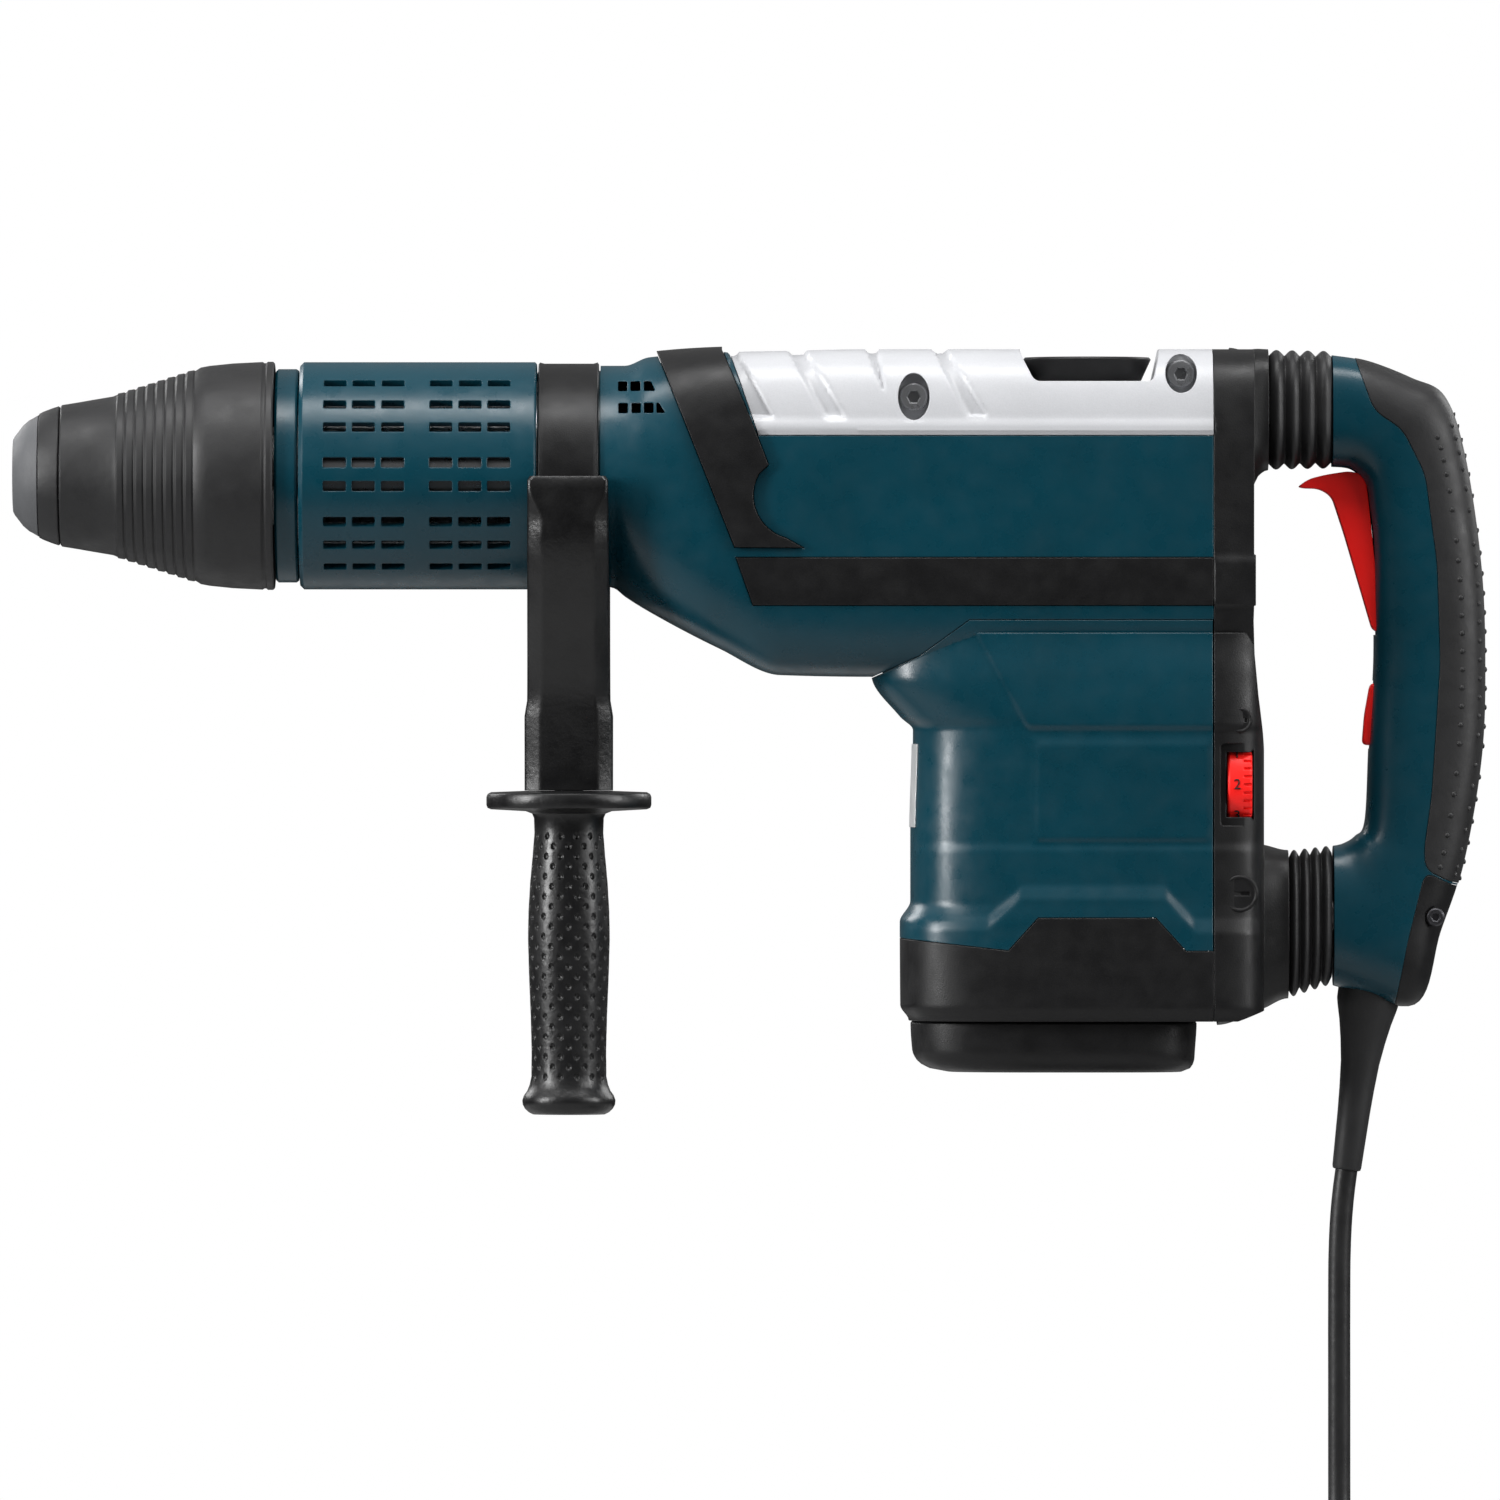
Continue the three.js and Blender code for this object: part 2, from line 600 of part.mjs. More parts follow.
function sideGrip() {
  return turned(
    [[-131.6, 6.3], [-131.6, 17], [-132.6, 33.5], [-134, 34.5], [-138, 34.5], [-139.3, 33],
      [-141, 14.5], [-149, 14.4], [-170, 16.3], [-193, 17.1], [-225, 16], [-251, 15.7], [-257, 17.4],
      [-261, 19.5], [-264.5, 18.6], [-266.9, 15], [-266.9, 0], [-160, 0], [-160, 6.3]],
    "Z", 16,
  );
}

// ---- Rear handle ----

// Stations round the D: [inner x, inner z, outer x, outer z, half width].
const HANDLE_STATIONS = [
  [318.9, 3.2, 318.9, 50.4, 22],
  [327, 2, 334, 47.8, 21.5],
  [332.5, -4, 352, 40.8, 21],
  [334, -14, 366, 33, 20.5],
  [335.5, -28, 374.5, 8, 20],
  [336, -50, 381.1, -36.8, 19.5],
  [336.2, -78, 382.8, -77, 19],
  [334.2, -112, 381.4, -117, 19],
  [332.6, -143.9, 374, -161, 20],
  [328.5, -150.5, 364.4, -190.4, 21],
  [323.6, -153.6, 353.5, -221, 22],
  [319.4, -154.6, 319.4, -213, 22],
];

function handleBody(thickness) {
  return skin(HANDLE_STATIONS.map(([xi, zi, xo, zo, half], i) => {
    const ends = i === 0 || i === HANDLE_STATIONS.length - 1;
    const shift = ends ? Math.max(thickness, 0) : 0;
    const u = new THREE.Vector3(xo - xi, 0, zo - zi).multiplyScalar(0.5);
    const centre = [(xi + xo) / 2 + shift, 0, (zi + zo) / 2];
    u.setLength(u.length() - thickness);
    return oval(centre, u.toArray(), [0, half - thickness, 0], 3, 3, 16);
  }));
}

const HANDLE = handleBody(0);
const RUBBER_OUTLINE = [
  [328.2, 60], [328.2, 48.6], [335.9, 26.9], [347.8, 19.2], [357.3, 0.4], [362.3, -37.2],
  [363.6, -78], [360, -133.5], [356.8, -156.2], [357.5, -164.5], [369.5, -170.5],
  [400, -170.5], [400, 60],
];
const END_CAP_OUTLINE = [
  [357.2, -165.2], [369.2, -171.2], [400, -171.2], [400, -240], [341, -240], [350, -194],
];
const COVER_DEPTH = 2.5;
const SLEEVE_AXIS = { top: [334.6, -214.5], bottom: [325, -290.1] };

// A straight cone between two points in the plane of the handle.
function coneAlong([x0, z0], [x1, z1], profile, sides = 16) {
  const direction = new THREE.Vector3(x1 - x0, 0, z1 - z0).normalize();
  const turn = new THREE.Quaternion().setFromUnitVectors(new THREE.Vector3(0, 0, 1), direction);
  const points = [...profile, ...(profile[0][1] === 0 ? [] : [profile[0]])];
  const geometry = new THREE.LatheGeometry(
    points.map(([along, radius]) => new THREE.Vector2(radius, along)), sides,
  );
  geometry.rotateX(Math.PI / 2);
  geometry.applyQuaternion(turn);
  geometry.translate(x0, 0, z0);
  return solidOf(geometry);
}

function sleeveHole() {
  return coneAlong(SLEEVE_AXIS.top, SLEEVE_AXIS.bottom, [[-6, 0], [-6, 13.3], [12, 13.3], [12, 0]]);
}

// A piece that covers the shell inside a side outline.
function handleCovering(outline) {
  return HANDLE.subtract(handleBody(COVER_DEPTH - GAP))
    .intersect(sidePrism(inset(outline, GAP / 2)))
    .subtract(sleeveHole());
}

function handleShell(side) {
  const half = block([280, 420], side < 0 ? [-60, -GAP / 2] : [GAP / 2, 60], [-300, 100]);
  const covered = sidePrism(RUBBER_OUTLINE).add(sidePrism(END_CAP_OUTLINE))
    .subtract(handleBody(COVER_DEPTH));
  return HANDLE.subtract(handleBody(4.7))
    .subtract(covered)
    .subtract(rod("X", 310, 330, ROD_R + GAP, [0, 0, UPPER_ARM.z]))
    .subtract(rod("X", 310, 330, ROD_R + GAP, [0, 0, LOWER_ARM.z + 6]))
    .subtract(block([300, 352], [-8.8, 8.8], [-66.5, 9]))
    .subtract(block([322, 352], [-6.6, 6.6], [-114, -85.5]))
    .subtract(sleeveHole())
    .intersect(half);
}

// Guide rod of the sprung handle, with a head inside the handle's front wall.
function guideRod(z) {
  return turned([[283, 0], [283, ROD_R], [324.4, ROD_R], [324.4, 9], [328, 9], [328, 0]],
    "X", 12, [0, 0, z]);
}

// A ribbed rubber bellows between an arm of the frame and the handle.
function bellows(front, rear, ribs, hollow) {
  const steps = ribs * 2;
  const outer = Array.from({ length: steps + 1 }, (_, i) => {
    const t = i / steps;
    const scale = i % 2 ? 1 : 0.9;
    const at = (key) => front[key] + (rear[key] - front[key]) * t;
    return oval([at("x"), 0, at("z")], [0, at("half") * scale, 0], [0, 0, (at("height") / 2) * scale],
      3, 3, 16);
  });
  const middle = (front.z + rear.z) / 2;
  return skin(outer).subtract(rod("X", front.x - 5, rear.x + 5, hollow, [0, 0, middle], 12));
}

const TRIGGER_OUTLINE = [
  [304.7, -4.6], [309, -1.4], [316, 0.4], [326.5, 2], [332.5, 0], [333.7, -7.3], [336.7, -37.2],
  [341, -50], [341, -62], [337.6, -65.4], [335.5, -63.6], [324, -24.4], [318.8, -8.6],
  [313.7, -5.4], [307, -5.2],
];
const LOCK_OUTLINE = [[334.8, -86.6], [341, -86.6], [341, -112.6], [331.4, -112.6], [332.4, -100]];

// ---- Cord ----

// A rubber sleeve that keeps the cord from bending sharply where it leaves the handle.
function strainRelief() {
  const { top, bottom } = SLEEVE_AXIS;
  const length = Math.hypot(bottom[0] - top[0], bottom[1] - top[1]);
  const bore = CORD_R + GAP;
  return coneAlong(top, bottom, [
    [0, bore], [0, 13], [6, 13], [31, 8.1], [52, 6.8], [length, 6], [length, bore],
  ]);
}

// The cord hangs straight down out of the sleeve and turns onto the top layer of its coil.
const LEAD_POINTS = [
  [324.9, 0, -290.5], [323.4, 0, -303], [322.3, 0, -320], [322, 0, -345], [322, 0, -380],
  [322, 0, -405], [322, -0.3, -420], [322, -1.6, -432], [322, -6.1, -443], [322, -13.4, -452.4],
  [322, -19, -457],
];

// The end of the cord leaves the bottom layer and lies on the floor up to the plug.
const TAIL_POINTS = [
  [312, -110.7, -475.2], [300, -120.6, -475.2], [285, -128, -475.2], [266, -132, -475.2],
  [245, -133, -475.2], [228, -133, -474], [213.8, -133, -471.4],
];

function cordAlong(route, steps) {
  const points = route.map((point) => new THREE.Vector3(...point));
  return swept(polygon(CORD_R, 8), new THREE.CatmullRomCurve3(points), steps);
}

function cordCoil() {
  const { x, y, inner, outer, height } = COIL;
  return ring("Z", FLOOR_Z, FLOOR_Z + height, inner, outer, [x, y, 0], 24);
}

// Moulded two-blade plug, lying flat.
function powerPlug() {
  const { x, y, z } = PLUG;
  const sections = [[0, 6, 6, 1], [14, 9, 8, 0.5], [28, 13, 9.5, 0], [44, 14, 9.5, 0]];
  const grip = skin(sections.map(([along, half, high, lift]) =>
    oval([x - along, y, z - lift], [0, half, 0], [0, 0, high], 3, 3, 12)));
  const blade = (side) => block(
    [x - 61, x - 43], [y + side * 6.35 - 0.8, y + side * 6.35 + 0.8], [z - 3.2, z + 3.2],
  );
  return joined(grip, blade(-1), blade(1));
}

// ---- The assembly ----

const hammer = new THREE.Group();
hammer.name = "rotary_hammer";

function place(name, solid, look) {
  const mesh = new THREE.Mesh(geometryOf(solid), new THREE.MeshStandardMaterial(look));
  mesh.name = name;
  hammer.add(mesh);
}

// Nose and spindle
place("nose_cap", noseCap(), LOOK.rubber);
place("locking_sleeve", lockSleeve(), LOOK.rubber);
place("locking_spring", lockSpring(), LOOK.steel);
place("tool_holder", toolHolder(), LOOK.steel);
place("spindle_tube", spindleTube(), LOOK.steel);
place("spindle_ring_gear", ringGear(), LOOK.steel);

// Barrel
place("neck_ring", ring("X", -122.3, -112.8, 31.6, 44.6), LOOK.teal);
place("barrel_sleeve", barrelSleeve(), LOOK.teal);
place("barrel_tube", ring("X", -112, 60, 36.3, 39.7, undefined, FINE_SIDES), LOOK.cast);

// Hammer mechanism
place("striking_pin", strikingPin(), LOOK.steel);
place("striker", striker(), LOOK.steel);
place("piston", piston(), LOOK.cast);
place("connecting_rod", connectingRod(), LOOK.steel);

// Body
place("gear_housing", gearHousing(), LOOK.teal);
place("front_pad", frontPad(), LOOK.black);
place("top_cover", topCover(), LOOK.cast);
for (const [side, sideName] of [[-1, "left"], [1, "right"]]) {
  SCREWS.forEach((seat, i) => {
    place(`cover_screw_${sideName}_${i + 1}`, coverScrew(seat, side), LOOK.steel);
  });
  place(`side_band_${sideName}`, sideBand(side), LOOK.black);
}
place("motor_housing", motorHousing(), LOOK.teal);
place("base_cover", baseCover(), LOOK.black);
place("base_foot", baseFoot(), LOOK.black);
place("rear_frame", rearFrame(), LOOK.black);

// Gears and motor
place("gearbox_floor", gearboxFloor(), LOOK.cast);
place("crank_gear", crankGear(), LOOK.steel);
place("intermediate_gear", intermediateGear(), LOOK.steel);
place("motor_bearing_upper", ring("Z", -79, -71, 5.3, 16, [MOTOR_X, 0, 0]), LOOK.steel);
place("motor_bearing_lower", ring("Z", -216.3, -208, 5.3, 13, [MOTOR_X, 0, 0], 16), LOOK.steel);
place("armature_shaft", armatureShaft(), LOOK.steel);
place("armature_core", ring("Z", -165, -108, 5.3, 26.8, [MOTOR_X, 0, 0]), LOOK.iron);
place("commutator", ring("Z", -196, -174, 5.3, 15, [MOTOR_X, 0, 0]), LOOK.copper);
place("motor_fan", motorFan(), LOOK.black);
place("stator", ring("Z", -165, -108, 27.6, 43.5, [MOTOR_X, 0, 0]), LOOK.iron);
place("carbon_brush_left", carbonBrush(-1), LOOK.carbon);
place("carbon_brush_right", carbonBrush(1), LOOK.carbon);

// Side handle
place("clamp_band", ring("X", -12.6, 12.6, 44.3, 47.1, undefined, FINE_SIDES), LOOK.black);
place("saddle_block", saddleBlock(), LOOK.black);
place("clamp_bolt", clampBolt(), LOOK.steel);
place("side_grip", sideGrip(), LOOK.black);

// Rear handle
place("handle_shell_left", handleShell(-1), LOOK.teal);
place("handle_shell_right", handleShell(1), LOOK.teal);
place("rear_grip_rubber", handleCovering(RUBBER_OUTLINE), LOOK.rubber);
place("handle_end_cap", handleCovering(END_CAP_OUTLINE), LOOK.black);
place("upper_guide_rod", guideRod(UPPER_ARM.z), LOOK.steel);
place("lower_guide_rod", guideRod(LOWER_ARM.z + 6), LOOK.steel);
place("upper_bellows", bellows(
  { x: 292.4, z: 27.6, height: 48.6, half: 23 }, { x: 318.6, z: 27.6, height: 48.6, half: 23 },
  4, 12,
), LOOK.rubber);
place("lower_bellows", bellows(
  { x: 300.8, z: -189.7, height: 57, half: 23 }, { x: 318.6, z: -183.5, height: 57.5, half: 23 },
  3, 12,
), LOOK.rubber);
place("trigger", prism(TRIGGER_OUTLINE, "XZ", -8.2, 8.2), LOOK.red);
place("lock_button", prism(LOCK_OUTLINE, "XZ", -6, 6), LOOK.red);
place("switch_block", block([348, 362], [-11, 11], [-56, 2]), LOOK.black);

// Controls
place("speed_wheel", rod("X", WHEEL.x - WHEEL.width / 2, WHEEL.x + WHEEL.width / 2, WHEEL.radius,
  [0, WHEEL.y, WHEEL.z]), LOOK.red);
place("mode_knob", turned(
  [[30, 0], [30, 5], [39.2, 5], [39.2, 22.3], [49.4, 27.2], [49.4, 0]], "Z", 24, [KNOB_X, 0, 0],
), LOOK.black);

// Cord
place("strain_relief", strainRelief(), LOOK.rubber);
place("cord_lead", cordAlong(LEAD_POINTS, 10), LOOK.rubber);
place("cord_coil", cordCoil(), LOOK.rubber);
place("cord_tail", cordAlong(TAIL_POINTS, 6), LOOK.rubber);
place("power_plug", powerPlug(), LOOK.rubber);

export default hammer;
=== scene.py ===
import math

import bmesh
import bpy
from mathutils import Matrix, Vector, noise


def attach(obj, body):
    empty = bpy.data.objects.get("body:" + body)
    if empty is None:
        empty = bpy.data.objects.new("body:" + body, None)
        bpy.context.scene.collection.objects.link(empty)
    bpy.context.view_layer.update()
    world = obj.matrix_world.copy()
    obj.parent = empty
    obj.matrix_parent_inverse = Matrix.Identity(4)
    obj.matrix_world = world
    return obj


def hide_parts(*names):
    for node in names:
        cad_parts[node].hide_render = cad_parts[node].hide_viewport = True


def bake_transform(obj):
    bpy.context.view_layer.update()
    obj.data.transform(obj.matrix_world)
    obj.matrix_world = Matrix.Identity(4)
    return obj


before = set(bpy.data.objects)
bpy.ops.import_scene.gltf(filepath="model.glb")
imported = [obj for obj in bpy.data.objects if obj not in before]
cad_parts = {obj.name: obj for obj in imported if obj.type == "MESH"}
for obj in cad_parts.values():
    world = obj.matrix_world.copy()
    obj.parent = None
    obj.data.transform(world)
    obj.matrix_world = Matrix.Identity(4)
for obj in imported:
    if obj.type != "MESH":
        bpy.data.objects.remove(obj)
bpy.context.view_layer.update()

# Lengths below are in millimetres, as in the part's source; MM turns them into metres.
MM = 0.001
SEAM = 0.3  # gap between two neighbouring covers
GAP = SEAM / 2
WALL = 4.5
REAR_X = 268.3  # front face of the rear frame
BARREL_R = 47.5
MOTOR_X = 200  # motor shaft
KNOB_X = 216.5  # mode knob, on the top cover
ROD_HEIGHTS = (27.6, -183.7)  # guide rods of the rear handle


# ---- Meshes ----

def new_object(name, points, faces, smooth_angle=32):
    mesh = bpy.data.meshes.new(name)
    mesh.from_pydata([(x * MM, y * MM, z * MM) for x, y, z in points], [], faces)
    obj = bpy.data.objects.new(name, mesh)
    bpy.context.collection.objects.link(obj)
    clean(obj, smooth_angle)
    return obj


def clean(obj, smooth_angle=32):
    """Merges doubled points, turns faces outwards and smooths all but the sharp edges."""
    bm = bmesh.new()
    bm.from_mesh(obj.data)
    bmesh.ops.remove_doubles(bm, verts=bm.verts, dist=1e-6)
    bmesh.ops.recalc_face_normals(bm, faces=bm.faces)
    bm.to_mesh(obj.data)
    bm.free()
    shade(obj, smooth_angle)


def shade(obj, smooth_angle=32):
    obj.data.shade_smooth()
    obj.data.set_sharp_from_angle(angle=math.radians(smooth_angle))


def apply_modifiers(obj):
    graph = bpy.context.evaluated_depsgraph_get()
    mesh = bpy.data.meshes.new_from_object(obj.evaluated_get(graph))
    obj.modifiers.clear()
    obj.data = mesh


def combine(obj, others, operation):
    """Cuts, joins or intersects an object with others, which are used up."""
    for other in others:
        modifier = obj.modifiers.new("combine", "BOOLEAN")
        modifier.operation = operation
        modifier.solver = "MANIFOLD"
        modifier.object = other
        apply_modifiers(obj)
        bpy.data.objects.remove(other)
    shade(obj)
    return obj


def cut(obj, *others):
    return combine(obj, others, "DIFFERENCE")


def join(obj, *others):
    return combine(obj, others, "UNION")


def common(obj, *others):
    return combine(obj, others, "INTERSECT")


def copy_of(obj):
    twin = bpy.data.objects.new(obj.name + "_copy", obj.data.copy())
    bpy.context.collection.objects.link(twin)
    return twin


def bevelled(obj, width, segments=2, angle=30):
    modifier = obj.modifiers.new("bevel", "BEVEL")
    modifier.width = width * MM
    modifier.segments = segments
    modifier.limit_method = "ANGLE"
    modifier.angle_limit = math.radians(angle)
    modifier.use_clamp_overlap = True
    apply_modifiers(obj)
    obj.data.shade_smooth()
    obj.data.set_sharp_from_angle(angle=math.radians(40))
    return obj


def block(name, xs, ys, zs):
    points = [(x, y, z) for x in xs for y in ys for z in zs]
    faces = [(0, 1, 3, 2), (4, 6, 7, 5), (0, 4, 5, 1), (2, 3, 7, 6), (0, 2, 6, 4), (1, 5, 7, 3)]
    return new_object(name, points, faces)


def quads(below, above, count):
    """Faces between two closed rows of points that start at these numbers."""
    return [(below + i, below + (i + 1) % count, above + (i + 1) % count, above + i)
            for i in range(count)]


# How a flat outline (a, b) at a depth is placed for each plane.
PLACED = {
    "XY": lambda a, b, depth: (a, b, depth),
    "YZ": lambda a, b, depth: (depth, a, b),
    "XZ": lambda a, b, depth: (a, depth, b),
}


def prism(name, outline, plane="XZ", low=-90, high=90):
    place = PLACED[plane]
    count = len(outline)
    points = [place(a, b, depth) for depth in (low, high) for a, b in outline]
    sides = [(i, (i + 1) % count, (i + 1) % count + count, i + count) for i in range(count)]
    return new_object(name, points, sides + [tuple(range(count)), tuple(range(count, 2 * count))])


def turned(name, profile, axis="X", centre=(0, 0, 0), sides=128):
    """A profile of (along, radius) points turned round an axis; it closes on itself."""
    points = []
    for along, radius in profile:
        for i in range(sides):
            angle = 2 * math.pi * i / sides
            a, b = radius * math.cos(angle), radius * math.sin(angle)
            point = {"X": (along, a, b), "Y": (a, along, b), "Z": (a, b, along)}[axis]
            points.append(tuple(p + c for p, c in zip(point, centre)))
    faces = []
    rows = len(profile)
    for row in range(rows):
        following = (row + 1) % rows
        if profile[row][1] or profile[following][1]:
            faces += quads(row * sides, following * sides, sides)
    return new_object(name, points, faces)


def rod(name, axis, low, high, radius, centre=(0, 0, 0), sides=64):
    return turned(name, [(low, 0), (low, radius), (high, radius), (high, 0)], axis, centre, sides)


def skin(name, rings):
    """A closed skin over rings with the same number of points, with flat ends."""
    count = len(rings[0])
    last = (len(rings) - 1) * count
    points = [point for ring in rings for point in ring]
    faces = []
    for start in range(0, last, count):
        faces += quads(start, start + count, count)
    faces += [tuple(range(count)), tuple(range(last, last + count))]
    return new_object(name, points, faces)


def looped_skin(name, loops, smooth_angle=32):
    """A skin over rings whose last one joins the first, such as a tube with its inside."""
    count = len(loops[0])
    points = [point for ring in loops for point in ring]
    faces = []
    for row in range(len(loops)):
        faces += quads(row * count, (row + 1) % len(loops) * count, count)
    return new_object(name, points, faces, smooth_angle)


def on_oval(angle, power):
    """The point of a unit superellipse in a direction; powers over 2 square it off."""
    c, s = math.cos(angle), math.sin(angle)
    reach = (abs(c) ** power + abs(s) ** power) ** (-1 / power)
    return c * reach, s * reach


def oval(centre, u, v, power_low, power_high=None, count=96):
    """A ring spanned by two half axes, with its own power towards -u and towards u."""
    ring = []
    for i in range(count):
        angle = 2 * math.pi * (i + 0.5) / count
        power = power_low if math.cos(angle) < 0 else (power_high or power_low)
        along, across = on_oval(angle, power)
        ring.append(tuple(c + p * along + q * across for c, p, q in zip(centre, u, v)))
    return ring


def inset(outline, distance):
    """A polygon moved inwards (outwards if the distance is negative)."""
    count = len(outline)
    area = sum(
        x * outline[(i + 1) % count][1] - outline[(i + 1) % count][0] * y
        for i, (x, y) in enumerate(outline)
    )
    turn = math.copysign(1, area)
    edges = [
        (Vector(outline[(i + 1) % count]) - Vector(outline[i])).normalized() for i in range(count)
    ]
    moved = []
    for i, (x, y) in enumerate(outline):
        before, after = edges[i - 1], edges[i]
        normal = Vector((-before.y - after.y, before.x + after.x)) * turn
        reach = distance / (1 + before.dot(after))
        moved.append((x + normal.x * reach, y + normal.y * reach))
    return moved


def arc(centre, radius, from_deg, to_deg, steps):
    angles = [math.radians(from_deg + (to_deg - from_deg) * i / steps) for i in range(steps + 1)]
    return [(centre[0] + radius * math.cos(a), centre[1] + radius * math.sin(a)) for a in angles]


def rounded(outline, radius, steps=5):
    """An outline with its corners rounded off by quadratic curves."""
    result = []
    count = len(outline)
    for i in range(count):
        corner = Vector(outline[i])
        before, after = Vector(outline[i - 1]) - corner, Vector(outline[(i + 1) % count]) - corner
        reach = min(radius, before.length / 2.1, after.length / 2.1)
        start, end = corner + before.normalized() * reach, corner + after.normalized() * reach
        for step in range(steps + 1):
            t = step / steps
            point = start * (1 - t) ** 2 + corner * 2 * t * (1 - t) + end * t**2
            result.append((point.x, point.y))
    return result


def step_between(value, low, high):
    """Smoothly from 0 at low to 1 at high."""
    t = min(max((value - low) / (high - low), 0), 1)
    return t * t * (3 - 2 * t)


def value_at(points, x):
    """Height of a polyline, given as (x, height) points, at x."""
    for (x0, z0), (x1, z1) in zip(points, points[1:]):
        if x <= x1:
            return z0 + (z1 - z0) * max(0, x - x0) / (x1 - x0)
    return points[-1][1]


# ---- Materials ----

def srgb(red, green, blue):
    """A colour as seen on a screen (0-255) as the linear values that shaders take."""
    return tuple(
        c / 255 / 12.92 if c <= 10 else ((c / 255 + 0.055) / 1.055) ** 2.4
        for c in (red, green, blue)
    )


def set_range(node, from_min, from_max, to_min, to_max):
    for key, number in (("From Min", from_min), ("From Max", from_max),
                        ("To Min", to_min), ("To Max", to_max)):
        node.inputs[key].default_value = number


EDGE_RADIUS = 0.7  # of the soft edges that a finish draws
PATCH_SIZE = 35  # of the patches in a finish's colour
SHEEN_SIZE = 9  # of the patches in its roughness


def material(name, colour, roughness=0.4, metallic=0.0, grain=0.4, grain_size=0.5,
             variation=0.12, edge_wear_and_highlight=0.25, gloss=0.3, relief=None):
    """A procedural finish: moulded or cast grain, slight patches, and edges drawn a bit lighter,
    partly as rubbed wear and partly as a painted highlight.

    grain is the bump's strength and grain_size its scale in mm. relief is a second, coarser
    bump as (strength, size in mm). The edge setting is how far the edges turn to the lighter tint,
    which paints rubbed wear together with a painted highlight.
    """
    made = bpy.data.materials.new(name)
    made.use_nodes = True
    made.diffuse_color = (*colour, 1)
    nodes, links = made.node_tree.nodes, made.node_tree.links
    shader = nodes["Principled BSDF"]
    shader.inputs["Metallic"].default_value = metallic
    shader.inputs["Specular IOR Level"].default_value = gloss
    place = nodes.new("ShaderNodeTexCoord").outputs["Object"]

    def noise_at(size, detail=2):
        node = nodes.new("ShaderNodeTexNoise")
        node.inputs["Scale"].default_value = 1 / (size * MM)
        node.inputs["Detail"].default_value = detail
        links.new(place, node.inputs["Vector"])
        return node.outputs["Fac"]

    def ranged(value, low, high, from_low=0.3, from_high=0.7):
        node = nodes.new("ShaderNodeMapRange")
        set_range(node, from_low, from_high, low, high)
        links.new(value, node.inputs["Value"])
        return node.outputs["Result"]

    def blended(factor, first, second):
        node = nodes.new("ShaderNodeMix")
        node.data_type = "RGBA"
        links.new(factor, node.inputs["Factor"])
        for value, socket in ((first, node.inputs[6]), (second, node.inputs[7])):
            if isinstance(value, tuple):
                socket.default_value = (*value, 1)
            else:
                links.new(value, socket)
        return node.outputs[2]

    # The bevel normal against the true normal marks the edges; they turn to the lighter tint, partly
    # rubbed wear and partly a painted highlight.
    soft = nodes.new("ShaderNodeBevel")
    soft.samples = 4
    soft.inputs["Radius"].default_value = EDGE_RADIUS * MM
    geometry = nodes.new("ShaderNodeNewGeometry")
    dot = nodes.new("ShaderNodeVectorMath")
    dot.operation = "DOT_PRODUCT"
    links.new(soft.outputs["Normal"], dot.inputs[0])
    links.new(geometry.outputs["Normal"], dot.inputs[1])
    edge = ranged(dot.outputs["Value"], edge_wear_and_highlight, 0, 0.75, 0.99)

    patches = ranged(noise_at(PATCH_SIZE, 4), 0, 1)
    darker = tuple(c * (1 - variation) for c in colour)
    lighter = tuple(min(1, c * (1 + variation)) for c in colour)
    # Lighter tint of the colour: the random speckle uses it, and the edges use it as rubbed wear
    # together with a painted highlight.
    rubbed_and_highlight = tuple(min(1, c * 2.2 + 0.004) for c in colour)
    base = blended(patches, darker, lighter)
    speckle = ranged(noise_at(grain_size * 0.8), 0, variation * 2)
    base = blended(speckle, base, rubbed_and_highlight)
    links.new(blended(edge, base, rubbed_and_highlight), shader.inputs["Base Color"])
    links.new(
        ranged(noise_at(SHEEN_SIZE, 5), roughness - 0.06, min(1, roughness + 0.08)),
        shader.inputs["Roughness"],
    )

    normal = soft.outputs["Normal"]
    layers = [(grain, grain_size)] + ([relief] if relief else [])
    for strength, size in layers:
        bump = nodes.new("ShaderNodeBump")
        bump.inputs["Strength"].default_value = strength
        bump.inputs["Distance"].default_value = size * 0.18 * MM
        links.new(noise_at(size), bump.inputs["Height"])
        links.new(normal, bump.inputs["Normal"])
        normal = bump.outputs["Normal"]
    links.new(normal, shader.inputs["Normal"])
    return made


TEAL = material("teal_shell", srgb(0, 48, 60), 0.30, grain=0.35, grain_size=0.45,
                variation=0.10, edge_wear_and_highlight=0.5, gloss=0.38)
BLACK = material("black_plastic", srgb(13, 13, 14), 0.42, grain=0.6, grain_size=0.55, edge_wear_and_highlight=0.5)
GRIP = material("moulded_grip", srgb(10, 10, 11), 0.34, grain=0.3, grain_size=0.5, edge_wear_and_highlight=0.4,
                gloss=0.45, relief=(0.3, 2.5))
RUBBER = material("black_rubber", srgb(24, 24, 25), 0.50, grain=0.5, grain_size=0.4, edge_wear_and_highlight=0.3,
                  gloss=0.4, relief=(0.15, 3.0))
GREY_RUBBER = material("dust_cap", srgb(74, 75, 77), 0.55, grain=0.5, grain_size=0.5, edge_wear_and_highlight=0.35)
SILVER = material("cast_aluminium", srgb(174, 175, 178), 0.36, grain=0.25, grain_size=0.7,
                  variation=0.03, edge_wear_and_highlight=0.05, gloss=0.5, relief=(0.08, 4.0))
STEEL = material("steel", srgb(176, 177, 179), 0.28, metallic=1.0, grain=0.15, grain_size=0.3,
                 variation=0.08)
SOCKET_STEEL = material("socket_screw", srgb(128, 129, 131), 0.3, metallic=0.6, grain=0.15,
                        grain_size=0.3, variation=0.08)
